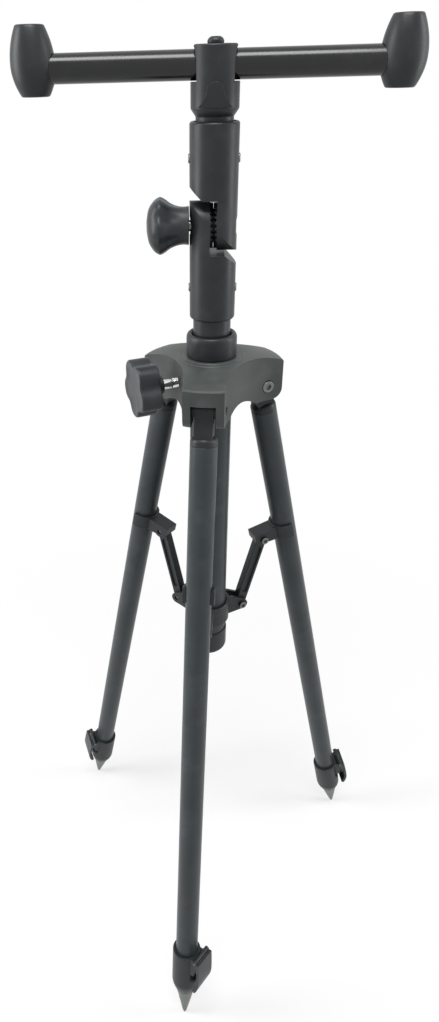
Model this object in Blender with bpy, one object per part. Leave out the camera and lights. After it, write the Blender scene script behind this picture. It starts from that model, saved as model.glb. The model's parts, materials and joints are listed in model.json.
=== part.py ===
"""Rod tripod for bank fishing: three telescopic legs, a sliding centre column, a toothed
tilt joint and a crossbar with a threaded socket at each end.

Lengths are metres, +Z is up, and the feet stand on z = 0. The front leg points to -Y.
Each object is one physical piece, and each moving group hangs from an empty whose origin
lies on its joint.
"""
import math

import bmesh
import bpy
from mathutils import Matrix, Vector

MM = 0.001

# Clearances between mating pieces
SEAT_GAP = 0.3 * MM
RUNNING_GAP = 0.5 * MM
# Cutters run well past whatever they cut
CUTTER_REACH = 90.0 * MM

# Legs and fold
LEG_AZIMUTHS = (-90.0, 30.0, 150.0)
LEG_ANGLE = math.radians(12.86)
FOLDED_ANGLE = math.radians(4.5)
LEG_LENGTH = 648.0 * MM
PIVOT_RADIUS = 43.8 * MM
LEG_TUBE_R = 11.0 * MM
LEG_TUBE_WALL = 1.0 * MM
LEG_TUBE_START = 28.0 * MM
TONGUE_WIDTH = 19.0 * MM
TONGUE_R = 7.6 * MM
TONGUE_LENGTH = 21.0 * MM
PLUG_LENGTH = 26.0 * MM
INNER_LEG_R = 9.4 * MM
INNER_LEG_WALL = 1.0 * MM
INNER_LEG_SHOWN = 56.0 * MM
INNER_LEG_FREE = 28.0 * MM
SPIKE_LENGTH = 26.0 * MM
SPIKE_PLUG_LENGTH = 24.0 * MM
SPIKE_COLLAR = 3.0 * MM
SPIKE_TIP_R = 1.3 * MM

# Hub
HUB_BOTTOM_DROP = 12.0 * MM
HUB_TOP_RISE = 21.0 * MM
ARM_REACH = 59.5 * MM
ARM_CORNER_R = 9.0 * MM
ARM_CROWN = 14.0 * MM
ARM_EDGE = 2.5 * MM
WEB_R = 38.0 * MM
CHEEK_THICKNESS = 6.2 * MM
TONGUE_SIDE_GAP = 0.3 * MM
SLOT_ROOF_RISE = 8.6 * MM
SLOT_INNER_R = 29.0 * MM
BOSS_R = 26.5 * MM
BOSS_DROP = 14.0 * MM
RING_R = 28.0 * MM
RING_HEIGHT = 2.6 * MM
SEAT_R = 24.0 * MM
SEAT_HEIGHT = 8.0 * MM
SCOOP_DISTANCE = 76.0 * MM
SCOOP_HALF = 30.0 * MM
SCOOP_TOP_R = 55.5 * MM
SCOOP_BOTTOM_R = 42.0 * MM
PIVOT_BOLT_R = 3.0 * MM
PIVOT_HEAD_R = 5.0 * MM
PIVOT_HEAD_HEIGHT = 3.2 * MM
HEAD_RECESS = 2.0 * MM
BOLT_END_SINK = 1.0 * MM

# Guide tube and centre column
GUIDE_R = 17.2 * MM
GUIDE_WALL = 2.0 * MM
GUIDE_RISE = 43.5 * MM
COLLAR_R = 20.0 * MM
COLLAR_HEIGHT = 18.0 * MM
COLLAR_LIP = 4.0 * MM
END_CAP_R = 18.6 * MM
END_CAP_HEIGHT = 22.0 * MM
END_CAP_FLOOR = 4.0 * MM
COLUMN_R = 14.6 * MM
COLUMN_WALL = 1.5 * MM
COLUMN_LENGTH = 310.0 * MM
STOP_BUSH_HEIGHT = 16.0 * MM
STOP_BUSH_SKIRT = 4.0 * MM
STOP_BUSH_WALL = 3.0 * MM
HEAD_TURN = math.radians(6.4)

# Spreader linkage
CLIP_DOWN = 160.0 * MM
CLIP_IN = 25.5 * MM
STRUT_LENGTH = 75.3 * MM
SPREADER_PIN_R = 34.0 * MM
STRUT_DEPTH = 10.0 * MM
STRUT_WIDTH = 8.0 * MM
STRUT_RIM = 2.4 * MM
STRUT_GROOVE = 1.6 * MM
EAR_THICKNESS = 3.0 * MM
EAR_SIDE_GAP = 0.4 * MM
LINK_BOLT_R = 2.0 * MM
LINK_HEAD_R = 3.6 * MM
LINK_HEAD_HEIGHT = 2.4 * MM
EYE_SLOT = 3.4 * MM
CLIP_BAND_THICKNESS = 2.8 * MM
CLIP_BAND_HEIGHT = 26.0 * MM
CLIP_BAND_RISE = 1.0 * MM
CLIP_EAR_REACH = 37.0 * MM
CLIP_EAR_R = 5.5 * MM
CLIP_BRIDGE = 8.5 * MM
CLIP_SLIT = 7.0 * MM
SPREADER_WALL = 2.8 * MM
SPREADER_HEIGHT = 22.0 * MM
SPREADER_DROP = 9.0 * MM
SPREADER_CLEARANCE = 11.396384256 * MM
SPREADER_EAR_R = 5.8 * MM

# Flip-lever leg locks
LOCK_LAP = 21.0 * MM
LOCK_HEIGHT = 48.0 * MM
LOCK_WALL = 4.4 * MM
LOCK_LUG_WIDTH = 13.0 * MM
LOCK_LUG_REACH = 19.4 * MM
LOCK_PIN_DROP = 11.0 * MM
LOCK_PIN_REACH = 17.0 * MM
LOCK_PIN_R = 1.2 * MM
LOCK_SLIT = 2.4 * MM
LOCK_GROOVE_DROP = 20.0 * MM
LOCK_GROOVE_HEIGHT = 5.0 * MM
LOCK_GROOVE_DEPTH = 1.0 * MM
LEVER_LENGTH = 33.0 * MM
LEVER_THICKNESS = 2.6 * MM
LEVER_FLARE = 6.0 * MM
LEVER_CHEEK = 2.6 * MM
LOCK_TURNS = (62.0, -15.0, 60.0)

# Tilt joint
TILT_RISE = 127.0 * MM
KNUCKLE_R = 17.3 * MM
KNUCKLE_CHAMFER = 2.5 * MM
EAR_FACE = 2.6 * MM
EAR_R = 17.0 * MM
SHOULDER_GAP = 1.2 * MM
SHOULDER_SLOPE = 9.0 * MM
TOOTH_COUNT = 20
TOOTH_ROOT_R = 6.4 * MM
TOOTH_TIP_R = 12.4 * MM
TOOTH_FOOT = 0.15
KNUCKLE_RISE = 67.5 * MM
KNUCKLE_SOCKET = 43.0 * MM
KNUCKLE_PIN_RISE = 44.5 * MM
CROSS_PIN_R = 3.2 * MM
CROSS_PIN_PROUD = 0.9 * MM
TILT_BOLT_R = 4.0 * MM
TILT_HEAD_R = 6.2 * MM
TILT_HEAD_HEIGHT = 4.0 * MM
TILT_HEAD_SINK = 1.0 * MM

# Clamp knobs
TILT_KNOB_NECK_R = 13.3 * MM
TILT_KNOB_R = 20.3 * MM
TILT_KNOB_LENGTH = 31.0 * MM
TILT_KNOB_LOBES = 6
TILT_KNOB_GAP = 0.6 * MM
KNOB_INSERT_R = 7.0 * MM
KNOB_INSERT_LENGTH = 13.0 * MM
HUB_KNOB_R = 23.5 * MM
HUB_KNOB_DISTANCE = 60.6 * MM
HUB_KNOB_THICKNESS = 13.0 * MM
HUB_KNOB_NECK_R = 7.6 * MM
HUB_KNOB_NECK = 8.0 * MM
HUB_KNOB_LOBES = 5
HUB_KNOB_AZIMUTH = 210.0
STUD_R = 4.0 * MM
STUD_RISE = 10.0 * MM
STUD_IN_KNOB = 8.0 * MM
PAD_R = 3.6 * MM

# Crossbar and its head
BAR_RISE = 227.2 * MM
BAR_R = 9.0 * MM
BAR_WALL = 1.2 * MM
BAR_HALF_SPAN = 121.0 * MM
HEAD_BLOCK_R = 16.5 * MM
HEAD_WAIST_R = 12.4 * MM
HEAD_NECK_R = 13.1 * MM
HEAD_RIM_R = 14.2 * MM
HEAD_CAP_RISE = 11.4 * MM
HEAD_RIB_R = 5.6 * MM
HEAD_RIB_PROUD = 0.9 * MM
CAP_PLUG_R = 6.3 * MM
CAP_PLUG_HEIGHT = 4.0 * MM
CAP_SCREW_R = 2.5 * MM
CAP_SCREW_THROUGH = 3.0 * MM
END_MID_R = 15.0 * MM
END_MID_RISE = 2.0 * MM
END_FACE_R = 9.4 * MM
END_UP = 25.0 * MM
END_DOWN = 16.0 * MM
BAR_IN_END = 6.0 * MM
INSERT_R = 6.6 * MM
INSERT_LENGTH = 14.0 * MM
SOCKET_R = 4.2 * MM

TUBE_SIDES = 18
MOULDING_SIDES = 20
SMALL_SIDES = 10
BORE_SIDES = 12
SCOOP_SIDES = 44

HUB_Z = LEG_LENGTH * math.cos(LEG_ANGLE)
INNER_LEG_END = LEG_LENGTH - SPIKE_LENGTH
INNER_LEG_LENGTH = INNER_LEG_END - LEG_TUBE_START - PLUG_LENGTH - INNER_LEG_FREE
LEG_TUBE_END = INNER_LEG_END - INNER_LEG_SHOWN
LOCK_TOP = LEG_TUBE_END - LOCK_LAP


def clear_scene():
    for obj in list(bpy.data.objects):
        bpy.data.objects.remove(obj, do_unlink=True)


def make_finish(name, color, roughness, metallic=0.0):
    material = bpy.data.materials.new(name)
    material.use_nodes = True
    shader = material.node_tree.nodes["Principled BSDF"]
    shader.inputs["Base Color"].default_value = (*color, 1.0)
    shader.inputs["Roughness"].default_value = roughness
    shader.inputs["Metallic"].default_value = metallic
    material.diffuse_color = (*color, 1.0)
    return material


def mesh_object(name, bm):
    bmesh.ops.remove_doubles(bm, verts=bm.verts, dist=1e-7)
    bmesh.ops.recalc_face_normals(bm, faces=bm.faces)
    mesh = bpy.data.meshes.new(name)
    bm.to_mesh(mesh)
    bm.free()
    obj = bpy.data.objects.new(name, mesh)
    bpy.context.scene.collection.objects.link(obj)
    return obj


def revolve(profile, sides=TUBE_SIDES, scale=None, closed=False):
    """Turn (radius, z) points about Z. closed joins the last point to the first, for a ring.
    scale(angle, index) may vary the radius round a lobed knob."""
    bm = bmesh.new()
    rings = []
    for index, (radius, z) in enumerate(profile):
        if radius < 1e-7:
            rings.append([bm.verts.new((0.0, 0.0, z))])
            continue
        ring = []
        for side in range(sides):
            angle = 2.0 * math.pi * side / sides
            reach = radius * (scale(angle, index) if scale else 1.0)
            ring.append(bm.verts.new((reach * math.cos(angle), reach * math.sin(angle), z)))
        rings.append(ring)
    pairs = list(zip(rings, rings[1:]))
    if closed:
        pairs.append((rings[-1], rings[0]))
    for low, high in pairs:
        for side in range(sides):
            after = (side + 1) % sides
            corners = [low[side % len(low)], low[after % len(low)],
                       high[after % len(high)], high[side % len(high)]]
            unique = [v for i, v in enumerate(corners) if v not in corners[:i]]
            if len(unique) > 2:
                bm.faces.new(unique)
    return bm


def tube(outer, inner, low, high, sides=TUBE_SIDES):
    return revolve([(outer, low), (outer, high), (inner, high), (inner, low)], sides, closed=True)


def rod(radius, low, high, sides=SMALL_SIDES):
    return revolve([(0.0, low), (radius, low), (radius, high), (0.0, high)], sides)


def prism(outline, low, high):
    """Extrude a closed (x, y) outline from z = low to z = high."""
    bm = bmesh.new()
    bottom = [bm.verts.new((x, y, low)) for x, y in outline]
    top = [bm.verts.new((x, y, high)) for x, y in outline]
    bm.faces.new(bottom)
    bm.faces.new(list(reversed(top)))
    count = len(outline)
    for i in range(count):
        j = (i + 1) % count
        bm.faces.new((bottom[i], bottom[j], top[j], top[i]))
    return bm


def arc(center, radius, start, end, steps):
    """Points of a round stretch, angles in degrees."""
    points = []
    for i in range(steps + 1):
        angle = math.radians(start + (end - start) * i / steps)
        points.append((center[0] + radius * math.cos(angle), center[1] + radius * math.sin(angle)))
    return points


def turned(bm, matrix):
    bm.transform(matrix)
    return bm


def along_x():
    """Turns a shape made along Z so that it runs along X."""
    return Matrix.Rotation(math.radians(90.0), 4, "Y")


def along_y():
    """Turns a shape made along Z so that it runs along -Y, and its +Y side up."""
    return Matrix.Rotation(math.radians(90.0), 4, "X")


def combine(target, operation, shapes):
    """Cut or unite shapes (bmesh) with an object and keep the result as its mesh."""
    for shape in shapes:
        tool = mesh_object("tool", shape)
        step = target.modifiers.new(operation, "BOOLEAN")
        step.operation = operation
        step.solver = "EXACT"
        step.object = tool
        bpy.context.view_layer.update()
        graph = bpy.context.evaluated_depsgraph_get()
        result = bpy.data.meshes.new_from_object(target.evaluated_get(graph))
        target.modifiers.clear()
        target.data = result
        bpy.data.objects.remove(tool, do_unlink=True)
    return target


def cut(target, *shapes):
    return combine(target, "DIFFERENCE", shapes)


def unite(target, *shapes):
    return combine(target, "UNION", shapes)


def dress(obj, parent, finish, matrix=None, name=None):
    """Hang a piece on its body's empty, in the empty's own frame, and shade it."""
    if name:
        obj.name = name
        obj.data.name = name
    obj.parent = parent
    obj.matrix_local = matrix if matrix is not None else Matrix.Identity(4)
    obj.data.materials.clear()
    obj.data.materials.append(finish)
    obj.data.shade_smooth()
    obj.data.set_sharp_from_angle(angle=math.radians(35.0))
    return obj


def empty(name, parent=None, matrix=None):
    obj = bpy.data.objects.new(name, None)
    bpy.context.scene.collection.objects.link(obj)
    obj.empty_display_size = 0.02
    obj.parent = parent
    if matrix is not None:
        obj.matrix_local = matrix
    return obj


def shift(x=0.0, y=0.0, z=0.0):
    return Matrix.Translation((x, y, z))


def turn_z(degrees):
    return Matrix.Rotation(math.radians(degrees), 4, "Z")


def turn_y(radians):
    return Matrix.Rotation(radians, 4, "Y")


# Linkage geometry, in the plane of a leg: radius from the column axis, and height

def clip_pin(leg_angle):
    radius = (PIVOT_RADIUS + CLIP_DOWN * math.sin(leg_angle) - CLIP_IN * math.cos(leg_angle))
    height = HUB_Z - CLIP_DOWN * math.cos(leg_angle) - CLIP_IN * math.sin(leg_angle)
    return radius, height


def strut_angle(leg_angle):
    return math.asin((clip_pin(leg_angle)[0] - SPREADER_PIN_R) / STRUT_LENGTH)


def spreader_height(leg_angle):
    return clip_pin(leg_angle)[1] - STRUT_LENGTH * math.cos(strut_angle(leg_angle))


def socket_bolt(shank_r, head_r, head_height, length, sides=SMALL_SIDES):
    """Socket-head bolt along Z: the head's underside at z = 0, the shank below it."""
    bolt = mesh_object("bolt", revolve([(0.0, -length), (shank_r, -length), (shank_r, 0.0),
                                        (head_r, 0.0), (head_r, head_height * 0.75),
                                        (head_r * 0.86, head_height), (0.0, head_height)], sides))
    recess = prism(arc((0.0, 0.0), head_r * 0.5, 0.0, 300.0, 5), head_height * 0.4, head_height * 2.0)
    return cut(bolt, recess)


# Hub casting and what is fixed to it

def arm_half_width():
    return TONGUE_WIDTH / 2.0 + TONGUE_SIDE_GAP + CHEEK_THICKNESS


def arm_side_profile():
    """Outline of one clevis arm seen from its side: x outward, y up from the pivot."""
    low = -HUB_BOTTOM_DROP
    corner = (ARM_REACH - ARM_CORNER_R, low + ARM_CORNER_R)
    outline = [(0.0, low)]
    outline += arc(corner, ARM_CORNER_R, -90.0, 0.0, 5)
    outline += [(ARM_REACH, HUB_TOP_RISE - ARM_EDGE), (ARM_REACH - ARM_EDGE, HUB_TOP_RISE - 0.6 * MM),
                (ARM_REACH - ARM_CROWN, HUB_TOP_RISE), (0.0, HUB_TOP_RISE)]
    return outline


def build_hub_casting():
    half = arm_half_width()
    on_edge = along_y()
    arms = []
    for azimuth in LEG_AZIMUTHS:
        arms.append(turned(prism(arm_side_profile(), -half, half), turn_z(azimuth) @ on_edge))
    hub = mesh_object("hub", arms[0])
    boss = rod(BOSS_R, -BOSS_DROP, HUB_TOP_RISE, MOULDING_SIDES)
    unite(hub, arms[1], arms[2])
    web = []
    for azimuth in LEG_AZIMUTHS:
        notch = azimuth + 60.0
        for side in (-30.0, 30.0):
            angle = math.radians(notch + side)
            web.append((math.cos(angle) * WEB_R, math.sin(angle) * WEB_R))
    unite(hub, prism(web, -HUB_BOTTOM_DROP, HUB_TOP_RISE))
    for azimuth in LEG_AZIMUTHS:
        scoop = revolve([(0.0, -SCOOP_HALF), (SCOOP_BOTTOM_R, -SCOOP_HALF),
                         (SCOOP_TOP_R, SCOOP_HALF), (0.0, SCOOP_HALF)], SCOOP_SIDES)
        cut(hub, turned(scoop, turn_z(azimuth + 60.0) @ shift(SCOOP_DISTANCE)))
    unite(hub, boss)
    trim_ring = revolve([(0.0, HUB_TOP_RISE - RING_HEIGHT), (RING_R, HUB_TOP_RISE - RING_HEIGHT),
                         (RING_R, HUB_TOP_RISE + 0.8 * MM), (RING_R - 1.5 * MM, HUB_TOP_RISE + RING_HEIGHT),
                         (SEAT_R + 1.0 * MM, HUB_TOP_RISE + RING_HEIGHT + 0.4 * MM),
                         (SEAT_R - 0.5 * MM, HUB_TOP_RISE + SEAT_HEIGHT),
                         (0.0, HUB_TOP_RISE + SEAT_HEIGHT)], MOULDING_SIDES)
    unite(hub, trim_ring)
    slot_half = TONGUE_WIDTH / 2.0 + TONGUE_SIDE_GAP
    slot_outline = [(SLOT_INNER_R, -CUTTER_REACH), (CUTTER_REACH, -CUTTER_REACH),
                    (CUTTER_REACH, SLOT_ROOF_RISE), (SLOT_INNER_R, SLOT_ROOF_RISE)]
    for azimuth in LEG_AZIMUTHS:
        cut(hub, turned(prism(slot_outline, -slot_half, slot_half), turn_z(azimuth) @ on_edge))
        bolt_way = turned(rod(PIVOT_BOLT_R + SEAT_GAP, -CUTTER_REACH, CUTTER_REACH),
                          turn_z(azimuth) @ shift(PIVOT_RADIUS) @ on_edge)
        head_way = turned(rod(PIVOT_HEAD_R + RUNNING_GAP, half - HEAD_RECESS, CUTTER_REACH),
                          turn_z(azimuth) @ shift(PIVOT_RADIUS) @ on_edge)
        cut(hub, bolt_way, head_way)
    cut(hub, rod(GUIDE_R + SEAT_GAP, -CUTTER_REACH, CUTTER_REACH, TUBE_SIDES))
    stud_way = rod(STUD_R + SEAT_GAP, 0.0, CUTTER_REACH)
    cut(hub, turned(stud_way, turn_z(HUB_KNOB_AZIMUTH) @ shift(z=STUD_RISE) @ along_x()))
    return hub


def guide_foot():
    """Height of the guide tube's lower end, which leaves room for the spreader above the end cap."""
    spreader_low = spreader_height(LEG_ANGLE) - HUB_Z - SPREADER_DROP
    return spreader_low - SPREADER_CLEARANCE - END_CAP_HEIGHT


def build_guide_tube():
    low = guide_foot()
    guide = mesh_object("guide", tube(GUIDE_R, GUIDE_R - GUIDE_WALL, low, GUIDE_RISE))
    pad_way = rod(PAD_R + SEAT_GAP, 0.0, CUTTER_REACH)
    return cut(guide, turned(pad_way, turn_z(HUB_KNOB_AZIMUTH) @ shift(z=STUD_RISE) @ along_x()))


def build_guide_collar():
    seat = HUB_TOP_RISE + SEAT_HEIGHT + SEAT_GAP
    top = seat + COLLAR_HEIGHT
    pocket = GUIDE_R + SEAT_GAP
    bore = COLUMN_R + RUNNING_GAP
    ledge = GUIDE_RISE + SEAT_GAP
    return mesh_object("collar", revolve([
        (pocket, seat), (COLLAR_R - 0.6 * MM, seat), (COLLAR_R, seat + 0.8 * MM),
        (COLLAR_R, top - COLLAR_LIP), (COLLAR_R - 0.9 * MM, top - 1.4 * MM),
        (COLLAR_R - 2.2 * MM, top), (bore + 1.2 * MM, top), (bore, top - 1.2 * MM),
        (bore, ledge), (pocket, ledge)], MOULDING_SIDES, closed=True))


def build_guide_end_cap():
    low = guide_foot()
    floor = low - END_CAP_FLOOR
    bore = GUIDE_R + SEAT_GAP
    rounding = [(END_CAP_R - 7.0 * MM + 7.0 * MM * math.sin(math.radians(a)),
                 floor + 5.0 * MM - 5.0 * MM * math.cos(math.radians(a))) for a in (0, 25, 50, 70, 90)]
    return mesh_object("cap", revolve([(0.0, floor)] + rounding + [
        (END_CAP_R, low + END_CAP_HEIGHT - 1.0 * MM), (END_CAP_R - 0.7 * MM, low + END_CAP_HEIGHT),
        (bore, low + END_CAP_HEIGHT), (bore, low - SEAT_GAP), (0.0, low - SEAT_GAP)], MOULDING_SIDES))


# Legs

def build_leg_top_fitting():
    """Moulded tongue in the hub's clevis, a ferrule as wide as the leg, and a plug in the tube."""
    half = TONGUE_WIDTH / 2.0
    ferrule_top = -TONGUE_LENGTH
    plug_r = LEG_TUBE_R - LEG_TUBE_WALL - SEAT_GAP
    low = -LEG_TUBE_START - PLUG_LENGTH
    body = mesh_object("fitting", revolve([
        (0.0, low), (plug_r - 0.8 * MM, low), (plug_r, low + 0.8 * MM),
        (plug_r, -LEG_TUBE_START + SEAT_GAP), (LEG_TUBE_R, -LEG_TUBE_START + SEAT_GAP),
        (LEG_TUBE_R, ferrule_top - 3.0 * MM), (LEG_TUBE_R - 1.2 * MM, ferrule_top - 0.9 * MM),
        (LEG_TUBE_R - 3.6 * MM, ferrule_top), (0.0, ferrule_top)]))
    outline = [(-TONGUE_R, ferrule_top - 3.0 * MM), (TONGUE_R, ferrule_top - 3.0 * MM)]
    outline += arc((0.0, 0.0), TONGUE_R, 0.0, 180.0, 8)
    unite(body, turned(prism(outline, -half, half), along_y()))
    cut(body, turned(rod(PIVOT_BOLT_R + SEAT_GAP, -CUTTER_REACH, CUTTER_REACH), along_y()))
    return body


def build_leg_tube():
    return mesh_object("leg", tube(LEG_TUBE_R, LEG_TUBE_R - LEG_TUBE_WALL, -LEG_TUBE_END, -LEG_TUBE_START))


def clip_half_width():
    return STRUT_WIDTH / 2.0 + EAR_SIDE_GAP + EAR_THICKNESS


def build_leg_clip():
    """Split band round the leg tube with two ears that carry the strut's upper bolt."""
    bore = LEG_TUBE_R + SEAT_GAP
    outer = bore + CLIP_BAND_THICKNESS
    middle = -CLIP_DOWN + CLIP_BAND_RISE
    clip = mesh_object("clip", tube(outer, bore, middle - CLIP_BAND_HEIGHT / 2.0,
                                    middle + CLIP_BAND_HEIGHT / 2.0))
    half = clip_half_width()
    # The ears' outline: x outward from the leg axis, y up the leg
    ears = [(-bore - 1.0 * MM, middle - 11.0 * MM), (-bore - 1.0 * MM, middle + 12.0 * MM),
            (-CLIP_EAR_REACH, middle + 17.0 * MM), (-CLIP_EAR_REACH - 1.0 * MM, middle + 2.0 * MM)]
    ears += arc((-CLIP_IN, -CLIP_DOWN), CLIP_EAR_R, -150.0, -50.0, 4)
    unite(clip, turned(prism(ears, -half, half), along_y()))
    cut(clip, rod(bore, -CLIP_DOWN - CUTTER_REACH, -CLIP_DOWN + CUTTER_REACH, TUBE_SIDES))
    # Room for the strut's eye between the ears, closed at the inner end by a bridge
    gap = STRUT_WIDTH / 2.0 + EAR_SIDE_GAP
    wall = -outer - 0.6 * MM
    roof = middle + 8.0 * MM
    room = [(wall, -CLIP_DOWN - CUTTER_REACH), (wall, roof), (-CLIP_IN - CLIP_BRIDGE, roof),
            (-CUTTER_REACH, middle - 10.0 * MM), (-CUTTER_REACH, -CLIP_DOWN - CUTTER_REACH)]
    cut(clip, turned(prism(room, -gap, gap), along_y()))
    cut(clip, turned(rod(LINK_BOLT_R + SEAT_GAP, -CUTTER_REACH, CUTTER_REACH),
                     shift(-CLIP_IN, 0.0, -CLIP_DOWN) @ along_y()))
    # The split on the outer side of the band
    slit = [(0.0, -CLIP_SLIT / 2.0), (CUTTER_REACH, -CLIP_SLIT / 2.0),
            (CUTTER_REACH, CLIP_SLIT / 2.0), (0.0, CLIP_SLIT / 2.0)]
    return cut(clip, prism(slit, -CLIP_DOWN - CUTTER_REACH, -CLIP_DOWN + CUTTER_REACH))


def build_lock_collar():
    """Clamp collar: a wide half on the leg tube, a narrow half that grips the inner leg."""
    top = -LOCK_TOP
    low = top - LOCK_HEIGHT
    bore = LEG_TUBE_R + SEAT_GAP
    outer = bore + LOCK_WALL
    grip = INNER_LEG_R + SEAT_GAP
    ledge = -LEG_TUBE_END - SEAT_GAP
    groove_top = top - LOCK_GROOVE_DROP
    groove_low = groove_top - LOCK_GROOVE_HEIGHT
    groove_r = outer - LOCK_GROOVE_DEPTH
    collar = mesh_object("lock", revolve([
        (bore, top), (outer - 1.2 * MM, top), (outer, top - 1.2 * MM), (outer, groove_top),
        (groove_r, groove_top - LOCK_GROOVE_DEPTH), (groove_r, groove_low + LOCK_GROOVE_DEPTH),
        (outer, groove_low), (outer - 0.8 * MM, low + 4.0 * MM), (outer - 2.4 * MM, low),
        (grip, low), (grip, ledge), (bore, ledge)], TUBE_SIDES, closed=True))
    half = LOCK_LUG_WIDTH / 2.0
    pin_z = top - LOCK_PIN_DROP
    lugs = [(bore + 1.0 * MM, pin_z - 16.0 * MM), (bore + LOCK_WALL + 1.6 * MM, pin_z - 16.0 * MM)]
    lugs += arc((LOCK_PIN_REACH, pin_z), LOCK_LUG_REACH - LOCK_PIN_REACH, -40.0, 110.0, 6)
    lugs += [(bore + 1.0 * MM, pin_z + 8.0 * MM)]
    unite(collar, turned(prism(lugs, -half, half), along_y()))
    cut(collar, rod(bore, ledge, top + CUTTER_REACH, TUBE_SIDES))
    slit = [(0.0, -LOCK_SLIT / 2.0), (CUTTER_REACH, -LOCK_SLIT / 2.0),
            (CUTTER_REACH, LOCK_SLIT / 2.0), (0.0, LOCK_SLIT / 2.0)]
    cut(collar, prism(slit, low - CUTTER_REACH, top - 4.0 * MM))
    cut(collar, turned(rod(LOCK_PIN_R + SEAT_GAP, -CUTTER_REACH, CUTTER_REACH),
                       shift(LOCK_PIN_REACH, 0.0, pin_z) @ along_y()))
    return collar


def build_lock_lever():
    """Flip lever: two cheeks on the pin outside the collar's lugs, and a flared thumb plate.
    The plate starts level with the pin, so that it clears the collar when it is swung out."""
    inner = LOCK_LUG_WIDTH / 2.0 + SEAT_GAP
    outer = inner + LEVER_CHEEK
    lug_r = LOCK_LUG_REACH - LOCK_PIN_REACH
    back = lug_r + SEAT_GAP
    front = back + LEVER_THICKNESS
    tail = back + LEVER_FLARE
    outline = [(front, 0.4 * MM), (front + 0.4 * MM, -0.35 * LEVER_LENGTH),
               (front + 0.4 * LEVER_FLARE, -0.7 * LEVER_LENGTH),
               (tail + LEVER_THICKNESS, -LEVER_LENGTH + 1.5 * MM),
               (tail + 0.6 * LEVER_THICKNESS, -LEVER_LENGTH), (tail - 0.4 * MM, -LEVER_LENGTH + 1.2 * MM),
               (back + 0.4 * LEVER_FLARE, -0.7 * LEVER_LENGTH), (back + 0.4 * MM, -0.35 * LEVER_LENGTH),
               (lug_r, -lug_r - 3.0 * MM)]
    outline += arc((0.0, 0.0), lug_r, 270.0, 0.0, 8)
    lever = mesh_object("lever", turned(prism(outline, -outer, outer), along_y()))
    room_low = -0.6 * LEVER_LENGTH
    room = [(-CUTTER_REACH, CUTTER_REACH), (-CUTTER_REACH, room_low), (back, room_low), (back, CUTTER_REACH)]
    cut(lever, turned(prism(room, -inner, inner), along_y()))
    return cut(lever, turned(rod(LOCK_PIN_R + SEAT_GAP, -CUTTER_REACH, CUTTER_REACH), along_y()))


def build_inner_leg():
    return mesh_object("inner", tube(INNER_LEG_R, INNER_LEG_R - INNER_LEG_WALL,
                                     -INNER_LEG_END, -INNER_LEG_END + INNER_LEG_LENGTH))


def build_foot_spike():
    low = -INNER_LEG_END
    plug = INNER_LEG_R - INNER_LEG_WALL - SEAT_GAP
    tip = -LEG_LENGTH
    return mesh_object("spike", revolve([
        (0.0, tip), (SPIKE_TIP_R, tip + 0.4 * MM), (SPIKE_TIP_R + 0.7 * MM, tip + 2.0 * MM),
        (INNER_LEG_R - 0.9 * MM, low - SPIKE_COLLAR), (INNER_LEG_R, low - SPIKE_COLLAR + 0.6 * MM),
        (INNER_LEG_R, low - SEAT_GAP), (plug, low - SEAT_GAP), (plug, low + SPIKE_PLUG_LENGTH),
        (0.0, low + SPIKE_PLUG_LENGTH)], TUBE_SIDES))


def build_strut():
    """Moulded link with a round eye above and a slotted eye below."""
    r = STRUT_DEPTH / 2.0
    outline = arc((0.0, 0.0), r, 0.0, 180.0, 8)
    outline += arc((0.0, -STRUT_LENGTH), r, 180.0, 360.0, 8)
    link = mesh_object("strut", turned(prism(outline, -STRUT_WIDTH / 2.0, STRUT_WIDTH / 2.0), along_y()))
    hole = LINK_BOLT_R + SEAT_GAP
    cut(link, turned(rod(hole, -CUTTER_REACH, CUTTER_REACH), along_y()))
    slot = arc((0.0, -STRUT_LENGTH), hole, 180.0, 360.0, 6)
    slot += arc((0.0, -STRUT_LENGTH + EYE_SLOT), hole, 0.0, 180.0, 6)
    cut(link, turned(prism(slot, -CUTTER_REACH, CUTTER_REACH), along_y()))
    groove_r = r - STRUT_RIM
    groove = arc((0.0, -r - STRUT_DEPTH * 0.7), groove_r, 0.0, 180.0, 5)
    groove += arc((0.0, -STRUT_LENGTH + r + STRUT_DEPTH * 0.9), groove_r, 180.0, 360.0, 5)
    floor = STRUT_WIDTH / 2.0 - STRUT_GROOVE
    cut(link, turned(prism(groove, floor, STRUT_WIDTH), along_y()),
        turned(prism(groove, -STRUT_WIDTH, -floor), along_y()))
    return link


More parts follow.
